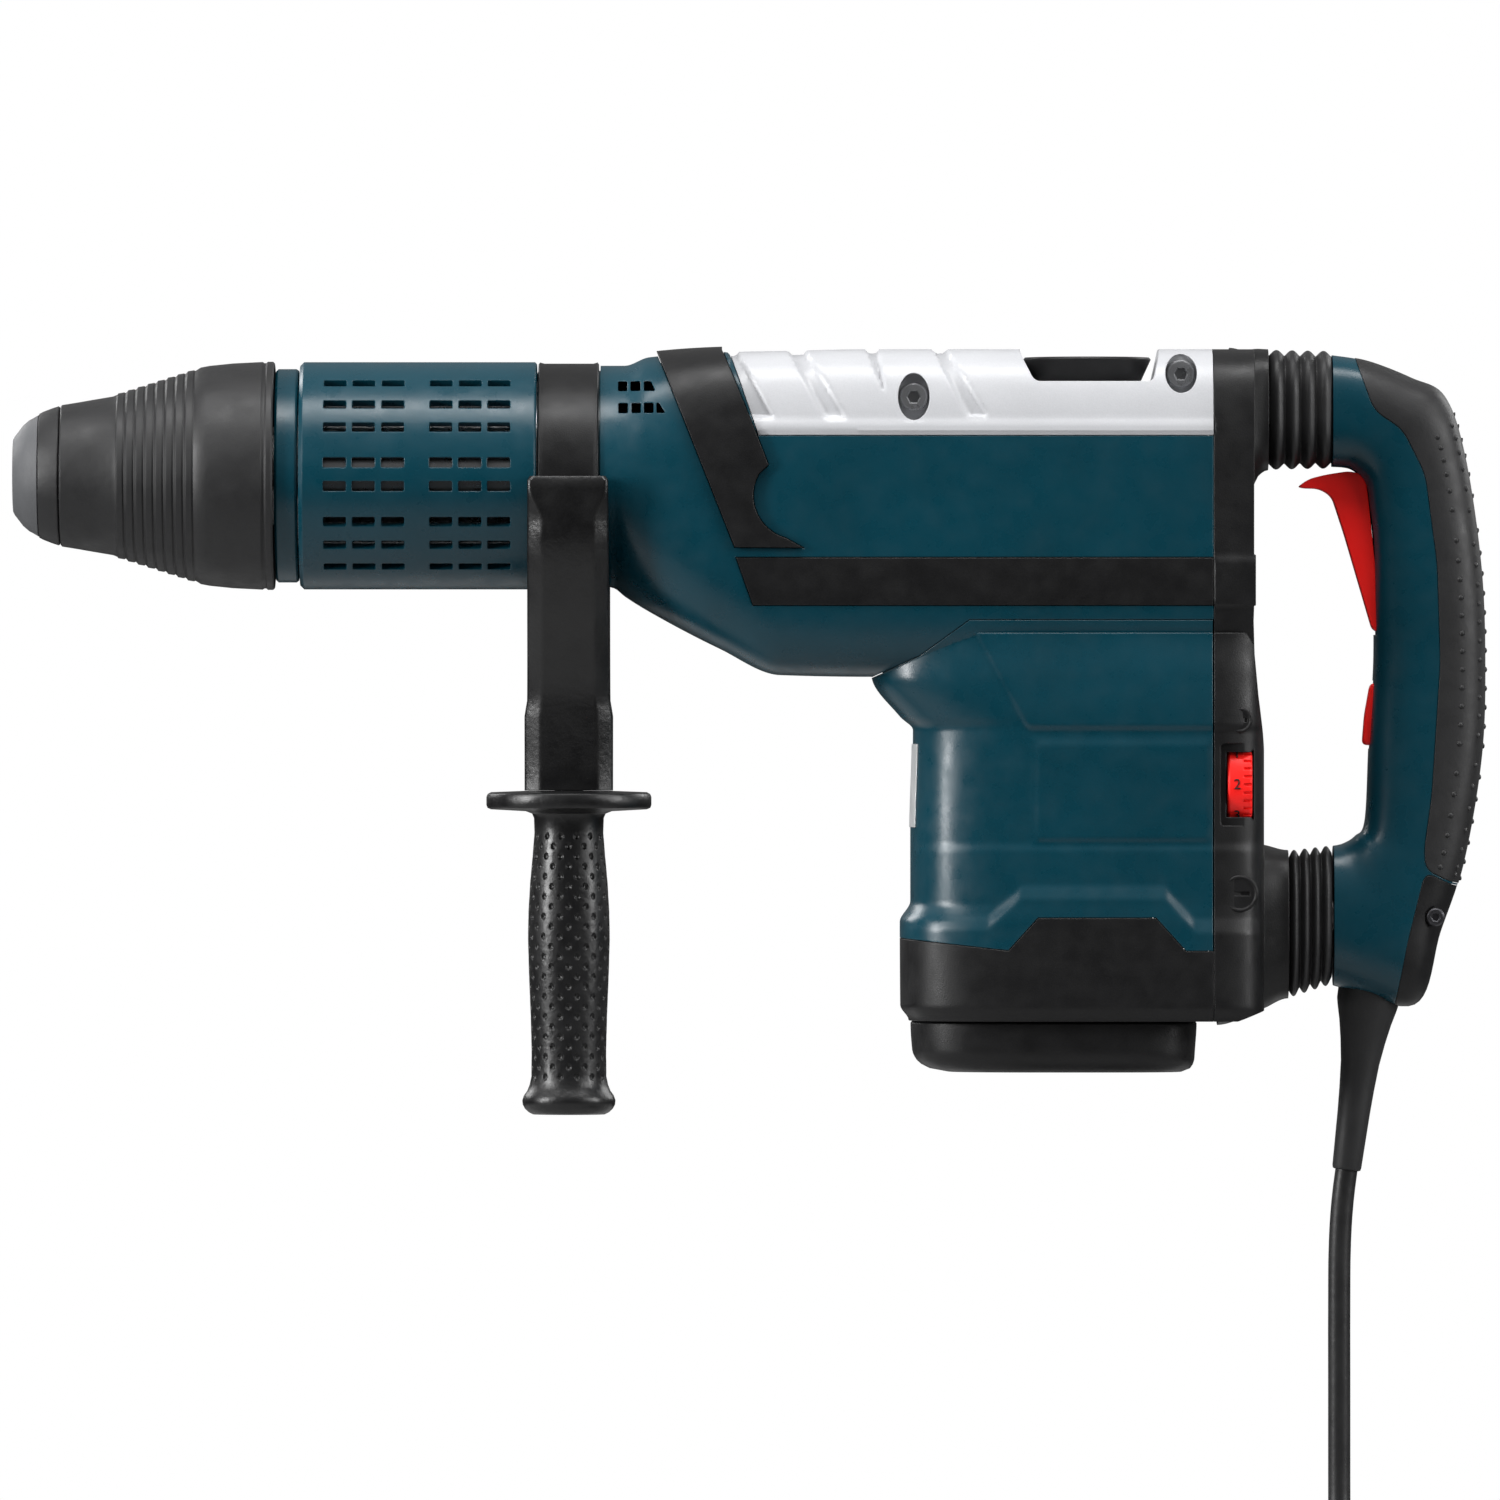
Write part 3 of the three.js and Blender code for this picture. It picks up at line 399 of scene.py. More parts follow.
DARK_STEEL = material("blackened_steel", srgb(70, 70, 73), 0.35, metallic=0.9, grain=0.2,
                      grain_size=0.4)
IRON = material("laminated_iron", srgb(96, 94, 92), 0.5, metallic=0.7, grain=0.3, grain_size=0.5)
COPPER = material("copper", srgb(190, 110, 70), 0.32, metallic=1.0, grain=0.2, grain_size=0.6)
CARBON = material("carbon", srgb(34, 34, 36), 0.7, grain=0.4, grain_size=0.4)
RED = material("red_plastic", srgb(255, 30, 26), 0.40, grain=0.25, grain_size=0.5, variation=0.05,
               edge_wear_and_highlight=0.12)
LABEL = material("plain_label", srgb(196, 198, 199), 0.35, metallic=0.4, grain=0.08,
                 grain_size=1.5, variation=0.04)
DARK_PRINT = material("dial_print", srgb(30, 12, 12), 0.5, grain=0.2, grain_size=0.4)
WHITE_PRINT = material("white_print", srgb(232, 232, 230), 0.5, grain=0.2, grain_size=0.4,
                       variation=0.04)
CORD = material("cord_jacket", srgb(18, 18, 19), 0.42, grain=0.4, grain_size=0.6, edge_wear_and_highlight=0.0,
                gloss=0.4, relief=(0.2, 5.0))


def finish_piece(obj, finish, body, slot, *nodes):
    """Gives a piece its material, the body it rides on and the CAD nodes it replaces; the slot
    argument is not used.
    """
    obj.data.materials.clear()
    obj.data.materials.append(finish)
    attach(obj, body)
    if nodes:
        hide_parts(*nodes)
    return obj


# ---- Camera, floor and light ----

CAMERA_PLACE = (75.7, -8360, -114.6)
LENS = 480
FLOOR_Z = -480
FLOOR_R = 1500
FLOOR_FADE = (0.55, 1.25)  # in metres from the middle
WHITE = (1, 1, 1, 1)


def make_camera():
    data = bpy.data.cameras.new("camera")
    data.sensor_width = 36
    data.lens = LENS
    camera = bpy.data.objects.new("camera", data)
    camera.location = Vector(CAMERA_PLACE) * MM
    camera.rotation_euler = (math.radians(90), 0, 0)
    bpy.context.collection.objects.link(camera)
    bpy.context.scene.camera = camera


def area_light(name, place, width, height, power):
    data = bpy.data.lights.new(name, "AREA")
    data.shape = "RECTANGLE"
    data.size, data.size_y = width, height
    data.energy = power
    light = bpy.data.objects.new(name, data)
    light.location = place
    aim = Vector(LIGHTS_AIM) - Vector(place)
    light.rotation_euler = aim.to_track_quat("-Z", "Y").to_euler()
    bpy.context.collection.objects.link(light)


def make_floor():
    """A pale disc that fades out into the white surroundings."""
    edge = arc((75, 0), FLOOR_R, 0, 360, 96)[:-1]
    obj = new_object("floor", [(x, y, FLOOR_Z) for x, y in edge], [tuple(range(len(edge)))])
    paint = bpy.data.materials.new("floor_paint")
    paint.use_nodes = True
    nodes, links = paint.node_tree.nodes, paint.node_tree.links
    shader = nodes["Principled BSDF"]
    shader.inputs["Base Color"].default_value = (0.36, 0.36, 0.36, 1)
    shader.inputs["Roughness"].default_value = 0.9
    place = nodes.new("ShaderNodeTexCoord")
    distance = nodes.new("ShaderNodeVectorMath")
    distance.operation = "LENGTH"
    fade = nodes.new("ShaderNodeMapRange")
    set_range(fade, *FLOOR_FADE, 1, 0)
    fade.interpolation_type = "SMOOTHSTEP"
    flat = nodes.new("ShaderNodeVectorMath")
    flat.operation = "MULTIPLY"
    flat.inputs[1].default_value = (1, 1, 0)
    links.new(place.outputs["Object"], flat.inputs[0])
    links.new(flat.outputs["Vector"], distance.inputs[0])
    links.new(distance.outputs["Value"], fade.inputs["Value"])
    links.new(fade.outputs["Result"], shader.inputs["Alpha"])
    obj.data.materials.append(paint)


def make_world():
    """White behind the object; for the light itself, bright overhead and dim near the horizon."""
    world = bpy.data.worlds.new("studio")
    bpy.context.scene.world = world
    world.use_nodes = True
    nodes, links = world.node_tree.nodes, world.node_tree.links
    nodes.clear()
    place = nodes.new("ShaderNodeTexCoord")
    split = nodes.new("ShaderNodeSeparateXYZ")
    rise = nodes.new("ShaderNodeMapRange")
    set_range(rise, -0.1, 0.9, 0.03, 0.45)
    rays = nodes.new("ShaderNodeLightPath")
    lit, seen = nodes.new("ShaderNodeBackground"), nodes.new("ShaderNodeBackground")
    mix, output = nodes.new("ShaderNodeMixShader"), nodes.new("ShaderNodeOutputWorld")
    links.new(place.outputs["Generated"], split.inputs["Vector"])
    links.new(split.outputs["Z"], rise.inputs["Value"])
    links.new(rise.outputs["Result"], lit.inputs["Strength"])
    links.new(rays.outputs["Is Camera Ray"], mix.inputs["Fac"])
    links.new(lit.outputs["Background"], mix.inputs[1])
    links.new(seen.outputs["Background"], mix.inputs[2])
    links.new(mix.outputs["Shader"], output.inputs["Surface"])
    for node in (lit, seen):
        node.inputs["Color"].default_value = WHITE


LIGHTS_AIM = (0.08, 0, -0.08)
LIGHTS = [  # name, place, width and height in metres, watts
    ("overhead", (0.05, -0.42, 1.2), 1.7, 0.4, 22),
    ("front_left", (-1.9, -1.45, 1.1), 0.8, 0.9, 13),
    ("front_right", (2.0, -1.45, 0.9), 0.8, 0.9, 14),
    ("strip_left", (-1.75, -0.75, 0.3), 0.35, 0.9, 40),
    ("strip_right", (1.9, -0.6, 0.3), 0.3, 0.9, 16),
    ("back_left", (-1.5, 1.7, 0.9), 0.9, 1.0, 17),
    ("back_right", (1.7, 1.5, 0.8), 0.9, 1.0, 15),
]


make_camera()
make_floor()
make_world()
for row in LIGHTS:
    area_light(*row)
bpy.context.scene.view_settings.view_transform = "Standard"


# ---- Cord ----

CORD_R = 4.75
LEAD_POINTS = [
    (325.4, 0, -287), (323.4, 0, -303), (322.3, 0, -320), (322, 0, -345), (322, 0, -380),
    (322, 0, -405), (322, -0.3, -420), (322, -1.6, -432), (322, -6.1, -443),
    (322, -13.4, -452.4), (322, -19, -457), (322, -30, -462.9), (322, -45.75, -465.75),
]
TAIL_POINTS = [
    (329.5, -78.6, -475.2), (322.7, -96.2, -475.2), (312, -110.7, -475.2), (300, -120.6, -475.2),
    (285, -128, -475.2), (266, -132, -475.2), (245, -133, -475.2), (228, -133, -474),
    (214.2, -133, -471.4),
]
COIL_CENTRE = (260, -60)
COIL_RADII = (43, 52.5, 62)
COIL_LAYERS = (-475.25, -465.75)
TURN_STEPS = 36
JOG = 80  # degrees at the end of each turn, in which the cord steps over to the next one
LAYER_DIP = 4.5  # how far the cord passes inside the coil where it steps down a layer


def coil_turn(radius, next_radius, z, next_z, dip=0):
    """One turn clockwise from above; it moves to the next radius and height in its last part."""
    points = []
    for step in range(TURN_STEPS):
        angle = 360 * (1 - step / TURN_STEPS)
        t = step_between(JOG - angle, 0, JOG)
        r = radius + (next_radius - radius) * t - dip * math.sin(math.pi * t)
        radians = math.radians(angle)
        points.append((
            COIL_CENTRE[0] + r * math.cos(radians),
            COIL_CENTRE[1] + r * math.sin(radians),
            z + (next_z - z) * t,
        ))
    return points


def cord_points():
    inner, middle, outer = COIL_RADII
    low, high = COIL_LAYERS
    coil = coil_turn(outer, middle, high, high) + coil_turn(middle, inner, high, high)
    coil += coil_turn(inner, inner, high, low, LAYER_DIP)
    coil += coil_turn(inner, middle, low, low) + coil_turn(middle, outer, low, low)
    coil += coil_turn(outer, outer + 2 * CORD_R, low, low)
    return LEAD_POINTS + coil + TAIL_POINTS


def make_cord():
    data = bpy.data.curves.new("power_cord", "CURVE")
    data.dimensions = "3D"
    data.bevel_depth = CORD_R * MM
    data.bevel_resolution = 5
    data.resolution_u = 3
    data.use_fill_caps = True
    spline = data.splines.new("BEZIER")
    points = cord_points()
    spline.bezier_points.add(len(points) - 1)
    for bezier, point in zip(spline.bezier_points, points):
        bezier.co = Vector(point) * MM
        bezier.handle_left_type = bezier.handle_right_type = "AUTO"
    obj = bpy.data.objects.new("power_cord", data)
    bpy.context.collection.objects.link(obj)
    return finish_piece(obj, CORD, "rear_handle", "black_rubber",
                        "cord_lead", "cord_coil", "cord_tail")


def coil_tie():
    """A strap round the coil's six strands."""
    centre_x = COIL_CENTRE[0] - COIL_RADII[1]
    half, height, wall = 15.2, 10.3, 1.1
    centre_z = sum(COIL_LAYERS) / 2
    rings = []
    for reach, y in ((0, -6), (wall, -5.4), (wall, 5.4), (0, 6)):
        rings.append(oval((centre_x, COIL_CENTRE[1] + y, centre_z),
                          (half + reach, 0, 0), (0, 0, height + reach - wall), 3.2, count=48))
    return finish_piece(strap("cord_tie", rings), BLACK, "rear_handle", "black_plastic")


def strap(name, rings):
    """A band: rings outside, and the same rings pulled in towards the Y line as its inside."""
    count = len(rings[0])
    centre = [sum(p[i] for r in rings for p in r) / (len(rings) * count) for i in range(3)]
    scale = (0.93, 1, 0.93)

    def pulled(ring):
        return [tuple(c + (p - c) * s for p, c, s in zip(point, centre, scale)) for point in ring]

    return looped_skin(name, rings + [pulled(ring) for ring in reversed(rings)])


def make_plug():
    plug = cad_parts["power_plug"]
    plug.data.materials.clear()
    plug.data.materials.append(CORD)
    return plug


tie = coil_tie()
cord = make_cord()
plug = make_plug()


# ---- Shared shape tools ----

def merged(name, objects):
    """Separate bodies put in one mesh, without any boolean."""
    bm = bmesh.new()
    for obj in objects:
        bm.from_mesh(obj.data)
        bpy.data.objects.remove(obj)
    mesh = bpy.data.meshes.new(name)
    bm.to_mesh(mesh)
    bm.free()
    result = bpy.data.objects.new(name, mesh)
    bpy.context.collection.objects.link(result)
    return result


def moved(obj, matrix):
    obj.data.transform(matrix)
    return obj


def mirrored(obj):
    """The same shape on the other side (Y turned round)."""
    obj.data.transform(Matrix.Scale(-1, 4, (0, 1, 0)))
    obj.data.flip_normals()
    return obj


def smoothed(rows, spacing):
    """Rows of numbers filled in at about even spacing of the first, without overshoot."""
    def slope(i, k):
        if i in (0, len(rows) - 1):
            return 0
        before = (rows[i][k] - rows[i - 1][k]) / (rows[i][0] - rows[i - 1][0])
        after = (rows[i + 1][k] - rows[i][k]) / (rows[i + 1][0] - rows[i][0])
        return 2 * before * after / (before + after) if before * after > 0 else 0

    result = []
    for i in range(len(rows) - 1):
        width = rows[i + 1][0] - rows[i][0]
        steps = max(1, round(abs(width) / spacing))
        for step in range(steps):
            t = step / steps
            row = [rows[i][0] + width * t]
            for k in range(1, len(rows[0])):
                p, q = rows[i][k], rows[i + 1][k]
                m, n = slope(i, k) * width, slope(i + 1, k) * width
                row.append(p + t * (m + t * (3 * (q - p) - 2 * m - n + t * (m + n - 2 * (q - p)))))
            result.append(row)
    result.append(list(rows[-1]))
    return result


DOME_ROOT = 0.4  # how far a dome starts below its surface


def dome_field(name, places, radius, height, rings=3, sides=8):
    """Small raised domes; a place is (point, normal, long direction, stretch along that)."""
    points, faces = [], []
    for point, normal, along, stretch in places:
        base = len(points)
        n, a = Vector(normal).normalized(), Vector(along).normalized()
        b = n.cross(a)
        origin = Vector(point) - n * DOME_ROOT
        for ring in range(rings):
            lift = (height + DOME_ROOT) * math.sin(math.pi / 2 * ring / rings)
            r = radius * math.cos(math.pi / 2 * ring / rings)
            for i in range(sides):
                angle = 2 * math.pi * i / sides
                offset = a * (r * stretch * math.cos(angle)) + b * (r * math.sin(angle))
                points.append(tuple(origin + n * lift + offset))
        points.append(tuple(origin + n * (height + DOME_ROOT)))
        top, last = base + rings * sides, base + (rings - 1) * sides
        for low in range(base, last, sides):
            faces += quads(low, low + sides, sides)
        faces += [(last + i, last + (i + 1) % sides, top) for i in range(sides)]
        faces.append(tuple(base + i for i in reversed(range(sides))))
    return new_object(name, points, faces, 60)


# ---- Nose and barrel ----

def make_nose():
    cap = turned("dust_cap", [
        (-232.2, 9.5), (-232.2, 15.2), (-231.6, 16.4), (-228, 21.1), (-225.5, 23.2),
        (-223.8, 24.1), (-221.6, 25.4), (-221.6, 20.9), (-224.5, 20.9), (-224.5, 9.5),
    ])
    finish_piece(cap, GREY_RUBBER, "spindle", "black_rubber", "nose_cap")
    collar = turned("nose_collar", [
        (-221.3, 21), (-221.3, 25.9), (-219.6, 26.8), (-216, 28.2), (-213.2, 29.1),
        (-212.7, 28.7), (-212.6, 21),
    ])
    finish_piece(collar, RUBBER, "spindle", "black_rubber")


def sleeve_profile():
    ribs = []
    for i in range(8):
        x, radius = -188.7 + 4.16 * i, 33.9 + 1.32 * i
        ribs += [(x, radius), (x + 0.4, radius + 0.6), (x + 2.9, radius + 1.0),
                 (x + 3.5, radius + 0.7)]
    front = [(-212.3, 29.0), (-211.8, 29.6), (-205, 30.7), (-198.7, 31.8), (-190.4, 33.2)]
    rear = [(-153.8, 45.3), (-150, 46.0), (-140.2, 47.0), (-128, 47.6), (-127.2, 47.1),
            (-126.4, 47.1), (-125.8, 47.7), (-123.6, 47.7), (-122.9, 47.0)]
    inside = [(-122.9, 45.4), (-138, 45.4), (-146, 40.5), (-188, 29), (-212.3, 26)]
    return front + ribs + rear + inside


def make_locking_sleeve():
    finish_piece(turned("locking_sleeve_cover", sleeve_profile()), RUBBER, "locking_sleeve",
                 "black_rubber", "locking_sleeve")


SLOT_LENGTH, SLOT_HEIGHT = 9.6, 4.3
SLOT_STARTS = (-101.9, -89.9, -77.7, -57.7, -45.6, -33.6)
SLOT_ANGLES = (-53.5, -38, -24.5, -6, 6, 24.5, 38, 53.5)


def slot_cutters():
    cutters = []
    half = SLOT_HEIGHT / 2
    for start in SLOT_STARTS:
        end = start + SLOT_LENGTH
        outline = rounded([(start, -half), (end, -half), (end, half), (start, half)], 0.7, 3)
        for angle in SLOT_ANGLES:
            for turn in (angle - 90, 90 - angle):
                cutter = prism("slot", outline, "XY", BARREL_R - 6, BARREL_R + 6)
                cutters.append(moved(cutter, Matrix.Rotation(math.radians(turn), 4, "X")))
    return merged("slots", cutters)


def make_barrel():
    ring = turned("neck_ring_cover", [
        (-122.3, 31.6), (-122.3, 43.6), (-121.3, 44.6), (-113.8, 44.6), (-112.8, 43.9),
        (-112.8, 31.6),
    ])
    finish_piece(ring, TEAL, "housing", "teal_shell", "neck_ring")
    sleeve = turned("cooling_sleeve", [
        (-112.2, 43.5), (-112.2, 45.9), (-110.6, 47.5), (-14.1, 47.5), (-13.3, 46.7),
        (-13.3, 40.4), (-17, 40.4), (-17, 43.5),
    ], sides=256)
    finish_piece(cut(sleeve, slot_cutters()), TEAL, "housing", "teal_shell", "barrel_sleeve")
    tube = turned("cylinder_tube", [(-112, 36.3), (-112, 39.7), (60, 39.7), (60, 36.3)])
    finish_piece(tube, STEEL, "housing", "cast_aluminium", "barrel_tube")


make_nose()
make_locking_sleeve()
make_barrel()


# ---- Body ----

# Gear housing along X: [x, top, bottom, half width, power]; motor housing along Z:
# [z, front, half width]. Both are the same sections as in the solid model.
UPPER_SECTIONS = [
    (13.3, 46, -46, 46, 2), (18.8, 46, -47, 46.2, 2.05), (23.4, 46, -50.5, 46.8, 2.2),
    (33.5, 49.5, -56.8, 48, 2.6), (62.8, 51.5, -72.2, 50, 3.8), (88.3, 52, -83.3, 50, 4.4),
    (126, 52.7, -84, 50, 4.6), (262, 52.7, -84, 50, 4.6), (286, 52.7, -84, 47, 4.6),
]
LOWER_SECTIONS = [
    (-66, 126, 48), (-83.7, 126.5, 50), (-100.8, 138.5, 51), (-106.1, 143.8, 51),
    (-148.9, 142.7, 51), (-177.8, 142.7, 51), (-186.4, 138.3, 51.5), (-221.3, 138.5, 51.5),
    (-227.5, 142, 49.5),
]
LOWER_REAR_X = 290
CAVITY_FRONT_X = 62.8
BAND_DEPTH = 2.6
PAD_DEPTH = 2.5
COVER_LINE_Z = 16.3
GROOVE_TOP_Z = 52
GROOVE_DEPTH = 1.8
# Slanted flat grooves across the cover: (from x, to x at the top; from x, to x, Z of the end).
GROOVES = [
    (60, 70.7, 75, 86.2, 23.5), (91.6, 99.4, 106.6, 116.4, 23.2), (124.1, 129.5, 130.8, 132.2, 34.5),
    (152, 158.2, 165.9, 175.2, 24),
]
MOTOR_TOP = [(126.3, -84.3), (146.4, -75.2), (166.9, -60.3), (REAR_X, -60.3)]
BASE_TOP = [(138.9, -193.2), (183.1, -198.1), (195.4, -184.5), (244.3, -184.5),
            (256.8, -198.3), (REAR_X, -198.3)]
RIM_TOP = [(130, -181), (174.5, -181.5), (188.5, -168.6), (248, -168.6), (260.5, -182.5),
           (REAR_X + 20, -182.5)]
NAME_PANEL = (195, 266.1, -152.1, -111.6)


def groove_depth(x, z):
    """Depth of the cover's slanted grooves at a place on its side or top."""
    depth = 0
    for top_from, top_to, low_from, low_to, low_z in GROOVES:
        t = (z - low_z) / (GROOVE_TOP_Z - low_z)
        left, right = low_from + (top_from - low_from) * t, low_to + (top_to - low_to) * t
        begun = step_between(x, left - 0.2, left + 1.4)
        ended = step_between(x, right - 1.4, right + 0.2)
        depth = max(depth, begun * (1 - ended) * step_between(z, low_z - 0.5, low_z + 1.5))
    return GROOVE_DEPTH * depth


def upper_relief(x, z):
    """How far the upper body stands out at a place on its side."""
    lip = step_between(z, 17, 18.2) * (1 - step_between(z, 21.2, 23))
    in_cover = step_between(x, 66, 68) * (1 - step_between(x, 268, 268.5))
    strap = step_between(z, -55, -53.8) * (1 - step_between(z, -35.3, -34.1))
    return in_cover * (0.9 * lip - groove_depth(x, z)) + 0.9 * strap * step_between(x, 268, 268.5)


def panel_mask(x, z, box, soft):
    """1 inside a box (from x, to x, from z, to z), 0 outside it."""
    inside = 1
    for value, low, high in ((x, *box[:2]), (z, *box[2:])):
        inside *= step_between(value, low - soft, low + soft)
        inside *= 1 - step_between(value, high - soft, high + soft)
    return inside


def lower_relief(x, z):
    """How far the motor housing stands out: rim above the base, waist line and name panel."""
    rim = min(max((value_at(RIM_TOP, x) - z) / 8, 0), 1) * 2.6
    waist = 0.7 * step_between(-z, 153, 157)
    crease_x = 166.9 + (-60.2 - z) * 24.2 / 45.2
    crease = 0.9 * step_between(x, crease_x - 1.5, crease_x + 1.5) * step_between(z, -107, -104)
    recess = panel_mask(x, z, NAME_PANEL, 0.6)
    frame_line = panel_mask(x, z, (193, 268.1, -154.1, -109.6), 0.6)
    return max(rim, waist) + crease - 0.5 * recess - 0.25 * frame_line


def upper_body(thickness=0, front_x=0, spacing=5, count=128, relief=None):
    rows = [row for row in smoothed(UPPER_SECTIONS, spacing) if row[0] >= front_x - 0.01]
    rings = []
    for i, (x, top, bottom, half, power) in enumerate(rows):
        x1 = x - max(thickness, 0) if i == len(rows) - 1 else x
        high, wide = (top - bottom) / 2 - thickness, half - thickness
        middle = (top + bottom) / 2
        ring = oval((x1, 0, middle), (0, wide, 0), (0, 0, high), power, count=count)
        if relief:
            ring = [stood_out(p, middle, wide, high, power, relief) for p in ring]
        rings.append(ring)
    return skin("upper_body", rings)


def stood_out(point, middle, wide, high, power, relief):
    """A point of a YZ ring moved along the ring's own normal by the relief there."""
    x, y, z = point
    across = math.copysign(abs(y / wide) ** (power - 1), y) / wide
    up = math.copysign(abs((z - middle) / high) ** (power - 1), z - middle) / high
    length = math.hypot(across, up) or 1
    lift = relief(x, z)
    return (x, y + lift * across / length, z + lift * up / length)


def lower_body(thickness=0, spacing=5, count=128, relief=None):
    rows = smoothed(LOWER_SECTIONS, spacing)
    rings = []
    for i, (z, front, half) in enumerate(rows):
        z1 = z + max(thickness, 0) if i == len(rows) - 1 else z
        along = (LOWER_REAR_X - front) / 2 - thickness
        ring = oval(((LOWER_REAR_X + front) / 2, 0, z1), (along, 0, 0), (0, half - thickness, 0),
                    3.2, 7, count)
        if relief:
            ring = [(x, y + math.copysign(relief(x, z), y) * step_between(abs(y), 8, 30), z)
                    for x, y, z in ring]
        rings.append(ring)
    return skin("lower_body", rings)


def body(thickness=0, front_x=0):
    return join(upper_body(thickness, front_x), lower_body(thickness))


PAD_OUTLINE = [
    (33.5, 60), (64, 60), (64, 52.3), (78.2, 17.2), (83.3, 3.9),
    *arc((95.4, -8.8), 18.4, 150, 255, 24), (97.5, -30.5), (69.4, -30.3),
]
COVER_OUTLINE = [(64.3, 60), (79.3, COVER_LINE_Z), (REAR_X, COVER_LINE_Z), (REAR_X, 60)]
BAND_OUTLINE = [(70, -34.7), (77, -54.4), (REAR_X, -54.4), (REAR_X, -34.7)]
MOTOR_OUTLINE = [(120, -84.3), *MOTOR_TOP, (REAR_X, -198.3), *reversed(BASE_TOP[:-1]),
                 (120, -193.2)]
BASE_OUTLINE = [(130, -193.2), *BASE_TOP, (REAR_X, -240), (130, -240)]
REAR_OUTLINE = [
    (REAR_X + SEAM, 70), (286, 70), (285.3, -6), (285.3, -33.2), (286.9, -34), (286.9, -54),
    (285.3, -54.8), (285.1, -61), (285.6, -75), (287.2, -92), (289.3, -108), (290, -116),
    (290, -223), (281, -226.6), (REAR_X + SEAM, -231),
]
SCREWS = [(143.8, 32.3, 39, 9.8), (255, 42, 33, 8.2)]  # x, z, seat, half height of the recess
RECESS_R = 6.6

# Small vents in the neck: [bottom, top, [(from x, to x, slant of the rear end)]].
NECK_SLOTS = [
    (34.8, 39, [(20.7, 24.6, 0), (25.9, 30.1, 0), (31.5, 35.4, 0.9)]),
    (25.5, 29.8, [(20.9, 24.9, 0), (26.4, 30.3, 0), (31.6, 35.6, 0), (36.8, 39.2, 1.3)]),
]

OUTER_UPPER = upper_body(spacing=1.2, count=360, relief=upper_relief)
OUTER_LOWER = lower_body(spacing=1.1, count=480, relief=lower_relief)
CAVITY = body(WALL, CAVITY_FRONT_X)


def shell():
    """The outer skin of the whole body, hollow from the cavity's front on."""
    outer = join(copy_of(OUTER_UPPER), copy_of(OUTER_LOWER))
    return cut(outer, copy_of(CAVITY))


SHELL = shell()


def make_gear_housing():
    housing = copy_of(SHELL)
    housing.name = "gear_housing_cover"
    pad = cut(prism("pad", inset(PAD_OUTLINE, -SEAM)), body(PAD_DEPTH + SEAM))
    band = cut(prism("band", inset(BAND_OUTLINE, -SEAM)), body(BAND_DEPTH + SEAM))
    below = [(100, -84.3), *MOTOR_TOP, (REAR_X, -300), (100, -300)]
    cut(housing, rod("bore", "X", 10, 80, 40), prism("cover", inset(COVER_OUTLINE, -SEAM)), pad,
        band, block("rear", (REAR_X, 400), (-90, 90), (-300, 100)), prism("below", below))
    for z0, z1, outlines in NECK_SLOTS:
        for x0, x1, slant in outlines:
            outline = rounded([(x0, z0), (x1 + slant, z0), (x1 - slant, z1), (x0, z1)], 0.6, 3)
            cut(housing, prism("vent", outline, "XZ", -60, 60))
    neck = turned("neck", [(-13, 40), (-13, 43.2), (-12.3, 43.9), (14, 43.9), (14, 40)])
    join(housing, neck)
    return finish_piece(housing, TEAL, "housing", "teal_shell", "gear_housing")


def make_front_pad():
    outer = body(-2.3)
    pad = cut(common(outer, prism("outline", PAD_OUTLINE)), body(PAD_DEPTH))
    pad.name = "front_pad_cover"
    return finish_piece(pad, BLACK, "housing", "black_plastic", "front_pad")


def make_top_cover():
    channel = [(184.5, 70), (188.7, 49.5), (194, 38.8), (243.5, 38.8), (246, 50.5), (248, 70)]
    floor = block("floor", (183, 251), (-70, 70), (34.6, 60))
    bosses = [rod("boss", "Y", -60, 60, 10.8, (x, 0, z)) for x, z, _, _ in SCREWS]
    solid = cut(join(floor, *bosses), block("middle", (0, 300), (-28, 28), (0, 34)))
    common(solid, copy_of(OUTER_UPPER))
    cover = join(copy_of(SHELL), solid)
    cover.name = "top_cover_casting"
    common(cover, prism("outline", COVER_OUTLINE))
    cut(cover, prism("channel", rounded(channel, 2.5)),
        rod("hole", "Z", 20, 60, 5.4, (KNOB_X, 0, 0)))
    for x, z, seat, half_height in SCREWS:
        cut(cover, rod("hole", "Y", -60, 60, 3.4, (x, 0, z)))
        for side in (-1, 1):
            low, high = sorted((seat * side, 60 * side))
            recess = rod("recess", "Y", low, high, RECESS_R)
            stretch = Matrix.Diagonal((1, 1, half_height / RECESS_R, 1))
            place = Matrix.Translation(Vector((x, 0, z)) * MM)
            cut(cover, moved(recess, place @ stretch))
    return finish_piece(cover, SILVER, "housing", "cast_aluminium", "top_cover")


def hex_socket(x, z, radius, low, high):
    corners = arc((x, z), radius, 0, 300, 5)
    return prism("socket", corners, "XZ", low, high)


def make_cover_screws():
    for number, (x, z, seat, _) in enumerate(SCREWS, 1):
        for side, side_name in ((-1, "left"), (1, "right")):
            screw = turned("screw", [
                (27, 0), (27, 3), (seat + SEAM, 3), (seat + SEAM, 5.4), (seat + 0.7, 5.8),
                (seat + 3.4, 5.8), (seat + 4, 5.2), (seat + 4, 0),
            ], "Y", (x, 0, z), 48)
            cut(screw, hex_socket(x, z, 2.9, seat + 2, seat + 6))
            if side < 0:
                mirrored(screw)
            screw.name = f"socket_screw_{side_name}_{number}"
            finish_piece(screw, SOCKET_STEEL, "housing", "steel", f"cover_screw_{side_name}_{number}")


